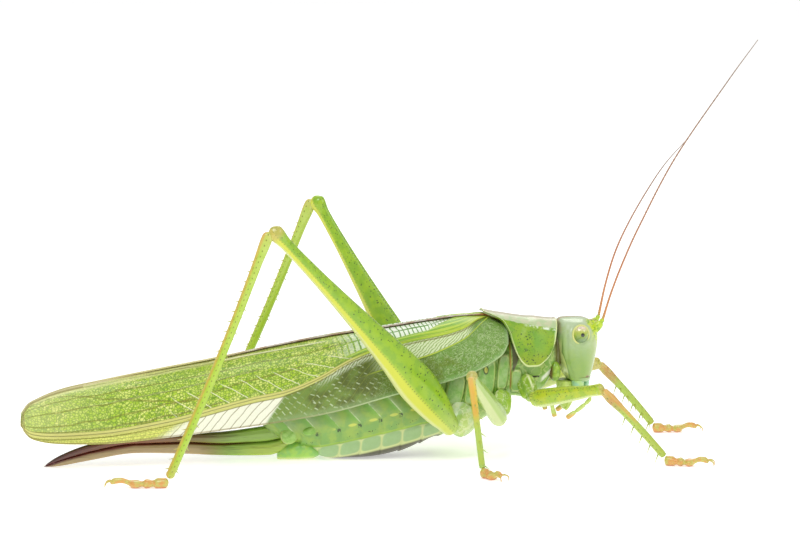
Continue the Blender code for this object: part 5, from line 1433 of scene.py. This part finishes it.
# Points of each leg: hip, trochanter, knee, ankle, claws.
LEGS = {
    ("hind", "right"): (
        (13.4, -2.6, 5.3), (11.4, -4.5, 3.1), (-9.2, -12.0, 26.1), (-20.0, -13.4, 1.0), (-25.8, -12.1, 0.4),
    ),
    ("hind", "left"): (
        (13.1, 2.6, 5.3), (10.7, 5.2, 3.1), (-0.8, 11.0, 26.4), (-11.3, 14.3, 1.0), (-17.6, 15.1, 0.4),
    ),
    ("mid", "right"): (
        (17.0, -2.2, 7.0), (16.5, -3.5, 4.1), (11.5, -12.0, 10.4), (12.3, -14.1, 0.95), (13.7, -16.5, 0.4),
    ),
    ("mid", "left"): (
        (17.0, 2.2, 7.0), (16.5, 3.5, 4.1), (12.6, 12.0, 10.2), (13.6, 14.6, 0.95), (15.2, 17.0, 0.4),
    ),
    ("front", "right"): (
        (19.3, -2.2, 8.4), (19.9, -4.0, 6.2), (25.7, -11.2, 8.3), (32.3, -11.2, 1.0), (36.7, -12.7, 0.4),
    ),
    ("front", "left"): (
        (19.3, 2.2, 8.4), (20.1, 4.0, 6.2), (30.1, 8.0, 7.9), (35.9, 7.6, 1.0), (40.8, 7.2, 0.4),
    ),
}
COXA_SIZES = {"hind": (1.6, 1.7, 1.1), "mid": (1.25, 1.3, 0.8), "front": (1.15, 1.2, 0.85)}
COXA_FLAT = 0.72
FEMUR_TABLES = {"hind": HIND_FEMUR, "mid": MID_FEMUR, "front": FRONT_FEMUR}
TIBIA_TABLES = {"hind": HIND_TIBIA, "mid": MID_TIBIA, "front": FRONT_TIBIA}
SPINE_TABLES = {"hind": HIND_SPINES, "mid": MID_SPINES, "front": FRONT_SPINES}
# Colours of each thigh: its length, then the green above and its clouds, the side below, the keel.
THIGH_COLOURS = {
    "hind": (31.5, (152, 188, 32), (134, 176, 34), (208, 212, 62), (214, 218, 140)),
    "mid": (11.5, (150, 182, 80), (166, 194, 110), (172, 198, 104), (204, 214, 150)),
    "front": (9.6, (184, 198, 44), (160, 190, 48), (196, 210, 118), (208, 218, 146)),
}
# Colours of each shin: its length, colours by the share of it, the clouds, and where the stripe ends.
SHIN_COLOURS = {
    "hind": (
        27.5, ((0.0, (206, 196, 110)), (0.06, (186, 206, 92)), (0.5, (176, 204, 66)), (0.9, (170, 200, 60)),
               (1.0, (190, 180, 80))), (160, 196, 40), 1.0,
    ),
    "mid": (
        9.8, ((0.0, (216, 196, 122)), (0.12, (218, 190, 66)), (0.38, (214, 180, 62)), (0.5, (176, 200, 88)),
              (1.0, (160, 192, 84))), (188, 194, 70), 0.35,
    ),
    "front": (
        10.0, ((0.0, (214, 186, 110)), (0.1, (196, 150, 80)), (0.2, (186, 150, 84)), (0.32, (172, 194, 78)),
               (1.0, (170, 182, 60))), (160, 190, 76), 0.4,
    ),
}


def leg_heights(paint):
    """For a limb's chart: the millimetres along it, and -1 to 1 from its lower side to its upper."""
    along, turn = paint.chart("UVMap")
    return paint.times(along, CHART), paint.maths("SINE", paint.times(turn, 2 * math.pi))


def thigh_paint(name, length, upper, dotted, lower, keel):
    """Green above and yellow below, with black dots above and a dotted line between."""
    paint = Paint(name, 0.3, coat=0.35)
    along, up = leg_heights(paint)
    _, turn = paint.chart("UVMap")
    clouds = paint.rise(paint.noise(1.1, 4.0), 0.4, 0.6)
    top = paint.mix(clouds, upper, dotted)
    colour = paint.mix(paint.rise(up, -0.5, -0.1), lower, top)
    colour = paint.mix(paint.rise(up, -0.78, -0.92), colour, keel)
    base = paint.rise(along, length * 0.16, 0.0)
    colour = paint.mix(paint.times(base, 0.5), colour, tint(206, 220, 124))
    knee = paint.rise(along, length * 0.955, length * 0.985)
    colour = paint.mix(paint.times(knee, 0.7), colour, tint(196, 176, 96))
    grid = paint.join(paint.times(along, 3.2), paint.times(turn, 26.0))
    away = paint.cells(1.0, place=grid, spread=0.9)
    dots = paint.times(paint.rise(away, 0.28, 0.18), paint.rise(up, -0.25, 0.1))
    crowded = paint.plus(paint.noise(1.1, 3.0), paint.times(paint.rise(up, 0.5, 0.9), 0.16))
    dots = paint.times(dots, paint.rise(crowded, 0.36, 0.44))
    step = paint.fract(paint.plus(paint.times(along, 2.7), paint.times(paint.noise(1.4), 0.9)))
    row = paint.times(paint.line(step, 0.5, 0.07, 0.08), paint.line(up, -0.32, 0.03, 0.04))
    row = paint.most(row, paint.times(paint.line(step, 0.3, 0.12, 0.08), paint.line(up, 0.93, 0.02, 0.02)))
    colour = paint.layer(colour, paint.most(dots, paint.times(row, 0.7)), 0.85, tint(44, 62, 14))
    return paint.finish(colour, paint.plus(paint.noise(4.0), paint.times(away, 0.5)), 0.25, 0.04)


def shin_paint(name, length, colours, dark, stripe_end):
    """A shin's colour runs through several along it, with darker dots in a row. An orange stripe lies
    along its upper side as far as a share of its length."""
    paint = Paint(name, 0.32, coat=0.3)
    along, up = leg_heights(paint)
    share = paint.ratio(along, length)
    colour = paint.ramp(share, *colours)
    clouds = paint.rise(paint.noise(1.6, 3.0), 0.4, 0.62)
    colour = paint.mix(paint.times(clouds, 0.4), colour, dark)
    stripe = paint.times(paint.rise(up, 0.6, 0.95), paint.rise(share, stripe_end + 0.15, stripe_end))
    colour = paint.mix(paint.times(stripe, 0.55), colour, tint(222, 160, 76))
    step = paint.fract(paint.times(along, 1.7))
    row = paint.times(paint.line(step, 0.5, 0.1, 0.08), paint.line(up, 0.3, 0.08, 0.06))
    colour = paint.mix(paint.times(row, 0.6), colour, tint(96, 72, 26))
    return paint.finish(colour, paint.noise(5.0), 0.25, 0.03)


def foot_paint(name):
    paint = Paint(name, 0.32, coat=0.3)
    clouds = paint.rise(paint.noise(1.8, 3.0), 0.38, 0.6)
    colour = paint.mix(clouds, tint(216, 158, 82), tint(196, 186, 92))
    colour = paint.mix(paint.rise(paint.z, 0.3, 0.08), colour, tint(196, 130, 74))
    return paint.finish(colour, paint.noise(7.0), 0.2, 0.03)


thigh_materials, shin_materials = {}, {}
for kind, (length, *colours) in THIGH_COLOURS.items():
    thigh_materials[kind] = thigh_paint(f"{kind}_thigh_horn", length, *[tint(*c) for c in colours])
for kind, (length, stops, clouds, stripe_end) in SHIN_COLOURS.items():
    colours = [(share, tint(*colour)) for share, colour in stops]
    shin_materials[kind] = shin_paint(f"{kind}_shin_horn", length, colours, tint(*clouds), stripe_end)
foot_material = foot_paint("padded_foot_horn")
coxa_horn = Paint("coxa_horn", 0.3, coat=0.4)
coxa_turn = coxa_horn.chart("UVMap")[1]
coxa_clouds = coxa_horn.rise(coxa_horn.noise(0.9, 4.0), 0.4, 0.6)
mint_coxa = coxa_horn.mix(coxa_clouds, tint(204, 222, 176), tint(186, 208, 116))
green_coxa = coxa_horn.mix(coxa_clouds, tint(162, 196, 70), tint(140, 178, 50))
coxa_colour = coxa_horn.mix(coxa_horn.rise(coxa_horn.x, 13.4, 15.4), mint_coxa, green_coxa)
# Cream is painted on the crests of the folds as highlights, and darker green between them as painted shade.
folds = coxa_horn.maths("COSINE", coxa_horn.plus(coxa_horn.times(coxa_turn, 6 * math.pi), 0.8))
coxa_colour = coxa_horn.layer(coxa_colour, coxa_horn.rise(folds, -0.3, -0.9), 0.55, tint(124, 168, 60))
coxa_colour = coxa_horn.layer(coxa_colour, coxa_horn.rise(folds, 0.9, 0.98), 0.6, tint(222, 228, 170))
coxa_veins = coxa_horn.line(coxa_horn.noise(1.3, 2.0), 0.5, 0.01, 0.03)
coxa_colour = coxa_horn.layer(coxa_colour, coxa_veins, 0.5, tint(226, 230, 180))
coxa_material = coxa_horn.finish(coxa_colour, coxa_horn.noise(2.5, 4.0), 0.3, 0.06)


def spine(name, root, tip):
    """One thorn, from a cone set at its root and pointing to its tip."""
    bpy.ops.object.select_all(action="DESELECT")
    length = (tip - root).length
    bpy.ops.mesh.primitive_cone_add(
        vertices=8, radius1=SPINE_RADIUS * MM, radius2=SPINE_TIP_RADIUS * MM, depth=length * MM
    )
    turn = (tip - root).to_track_quat("Z", "Y").to_matrix().to_4x4()
    return placed(name, Matrix.Translation(at((root + tip) / 2)) @ turn)


def foot_skin(heel, ahead, across):
    def skin(u, v):
        share = 0.5 - 0.5 * math.cos(math.pi * u)
        low, high, half = between(TARSUS, share)
        turn = 2 * math.pi * v
        round_off = dome(clamp(min(share, 1.0 - share) / 0.05))
        z = (low + high) / 2 + (high - low) * 0.52 * math.sin(turn) * round_off
        aside = across * math.cos(turn) * half * round_off
        return heel + ahead * share + aside + Vector((0, 0, max(z, 0.02)))

    return skin


for (kind, side), points in LEGS.items():
    hip, trochanter, knee, ankle, claw = (Vector(p) for p in points)
    plane = (knee - trochanter).cross(ankle - knee).normalized()
    along = (knee - trochanter).normalized()

    def coxa_sizes(share):
        first, middle, last = COXA_SIZES[kind]
        radius = between(((0.0, first), (0.5, middle), (1.0, last)), share)[0]
        return radius, radius, radius * COXA_FLAT

    def coxa_relief(share, turn):
        folds = 0.1 * math.cos(3 * turn + 0.8) + 0.05 * math.cos(7 * turn)
        folds *= clamp((0.9 - share) / 0.2)
        return folds - 0.14 * hump(share, 0.8, 0.07) + 0.06 * hump(share, 0.9, 0.06)

    coxa = limb(
        f"{kind}_hip_{side}", lambda t: hip.lerp(trochanter, t * 1.06), coxa_sizes, plane, 70, 64, 0.3,
        relief=coxa_relief,
    )
    mount(coxa, "trunk", coxa_material, f"{kind}_coxa_{side}")

    def femur_sizes(share):
        return between(FEMUR_TABLES[kind], share)

    def femur_relief(share, turn):
        sides = abs(math.cos(turn))
        lobes = 0.1 * hump(share, 0.965, 0.03) * sides
        keel = 0.05 * hump(math.sin(turn), -1.0, 0.35) + 0.04 * hump(math.sin(turn), -0.3, 0.14)
        return lobes + keel - 0.05 * hump(share, 0.055, 0.02)

    femur = limb(
        f"{kind}_thigh_{side}", lambda t: trochanter.lerp(knee, t), femur_sizes, plane, 180, 56, 0.02,
        relief=femur_relief,
    )
    mount(femur, "leg", thigh_materials[kind], f"{kind}_femur_{side}")

    fork = knee + along * KNEE_AHEAD - along.cross(plane) * KNEE_BELOW[kind]
    bow = (ankle - fork).normalized().cross(plane) * TIBIA_BOW[kind]

    def tibia_path(share):
        return fork.lerp(ankle, share) + bow * math.sin(math.pi * share)

    def tibia_relief(share, turn):
        relief = -0.05 * hump(share, 0.975, 0.012)
        # The front shin has its ear below the knee: a swelling on each side with a slit in it.
        if kind == "front":
            sides = abs(math.cos(turn))
            relief += 0.05 * hump(share, 0.13, 0.07) * sides
            relief -= 0.08 * hump(share, 0.13, 0.05) * hump(sides, 1.0, 0.08)
        return relief

    tibia = limb(
        f"{kind}_shin_{side}", tibia_path, lambda t: between(TIBIA_TABLES[kind], t), plane, 150, 28, 0.02,
        relief=tibia_relief,
    )
    shin_along = (ankle - fork).normalized()
    over = shin_along.cross(plane).normalized()
    across = over.cross(shin_along).normalized()
    thorns = []
    for count, first, last, degrees, length, lean in SPINE_TABLES[kind]:
        turn = math.radians(degrees)
        outward = over * math.cos(turn) + across * math.sin(turn)
        for i in range(count):
            root = tibia_path(first + (last - first) * i / (count - 1)) + outward * 0.2
            tip = root + (outward + shin_along * lean).normalized() * (length + SPINE_REST)
            tip.z = max(tip.z, 0.12)
            thorns.append(spine("thorn", root, tip))
    shin = joined(f"{kind}_shin_{side}", [tibia, *thorns])
    mount(shin, "leg", shin_materials[kind], f"{kind}_tibia_{side}")

    ahead = Vector((claw.x - ankle.x, claw.y - ankle.y, 0.0))
    foot_across = Vector((-ahead.y, ahead.x, 0.0)).normalized()
    heel = Vector((ankle.x, ankle.y, 0.0))
    foot = rolled(f"{kind}_foot_{side}", 110, 28, foot_skin(heel, ahead, foot_across))
    claws = []
    for sign in (-1, 1):
        start = heel + ahead * 0.95 + Vector((0, 0, 0.6))
        hook = []
        for forwards, aside, up in CLAW_HOOK:
            flat = start + ahead.normalized() * forwards + foot_across * sign * aside
            hook.append(flat + Vector((0, 0, up)))
        claws.append(limb(
            "claw", smooth_path(hook), lambda t: (0.13 - 0.1 * t,) * 3, foot_across, 16, 10, 0.04, even=True
        ))
    mount(joined(f"{kind}_foot_{side}", [foot, *claws]), "foot", foot_material, f"{kind}_tarsus_{side}")
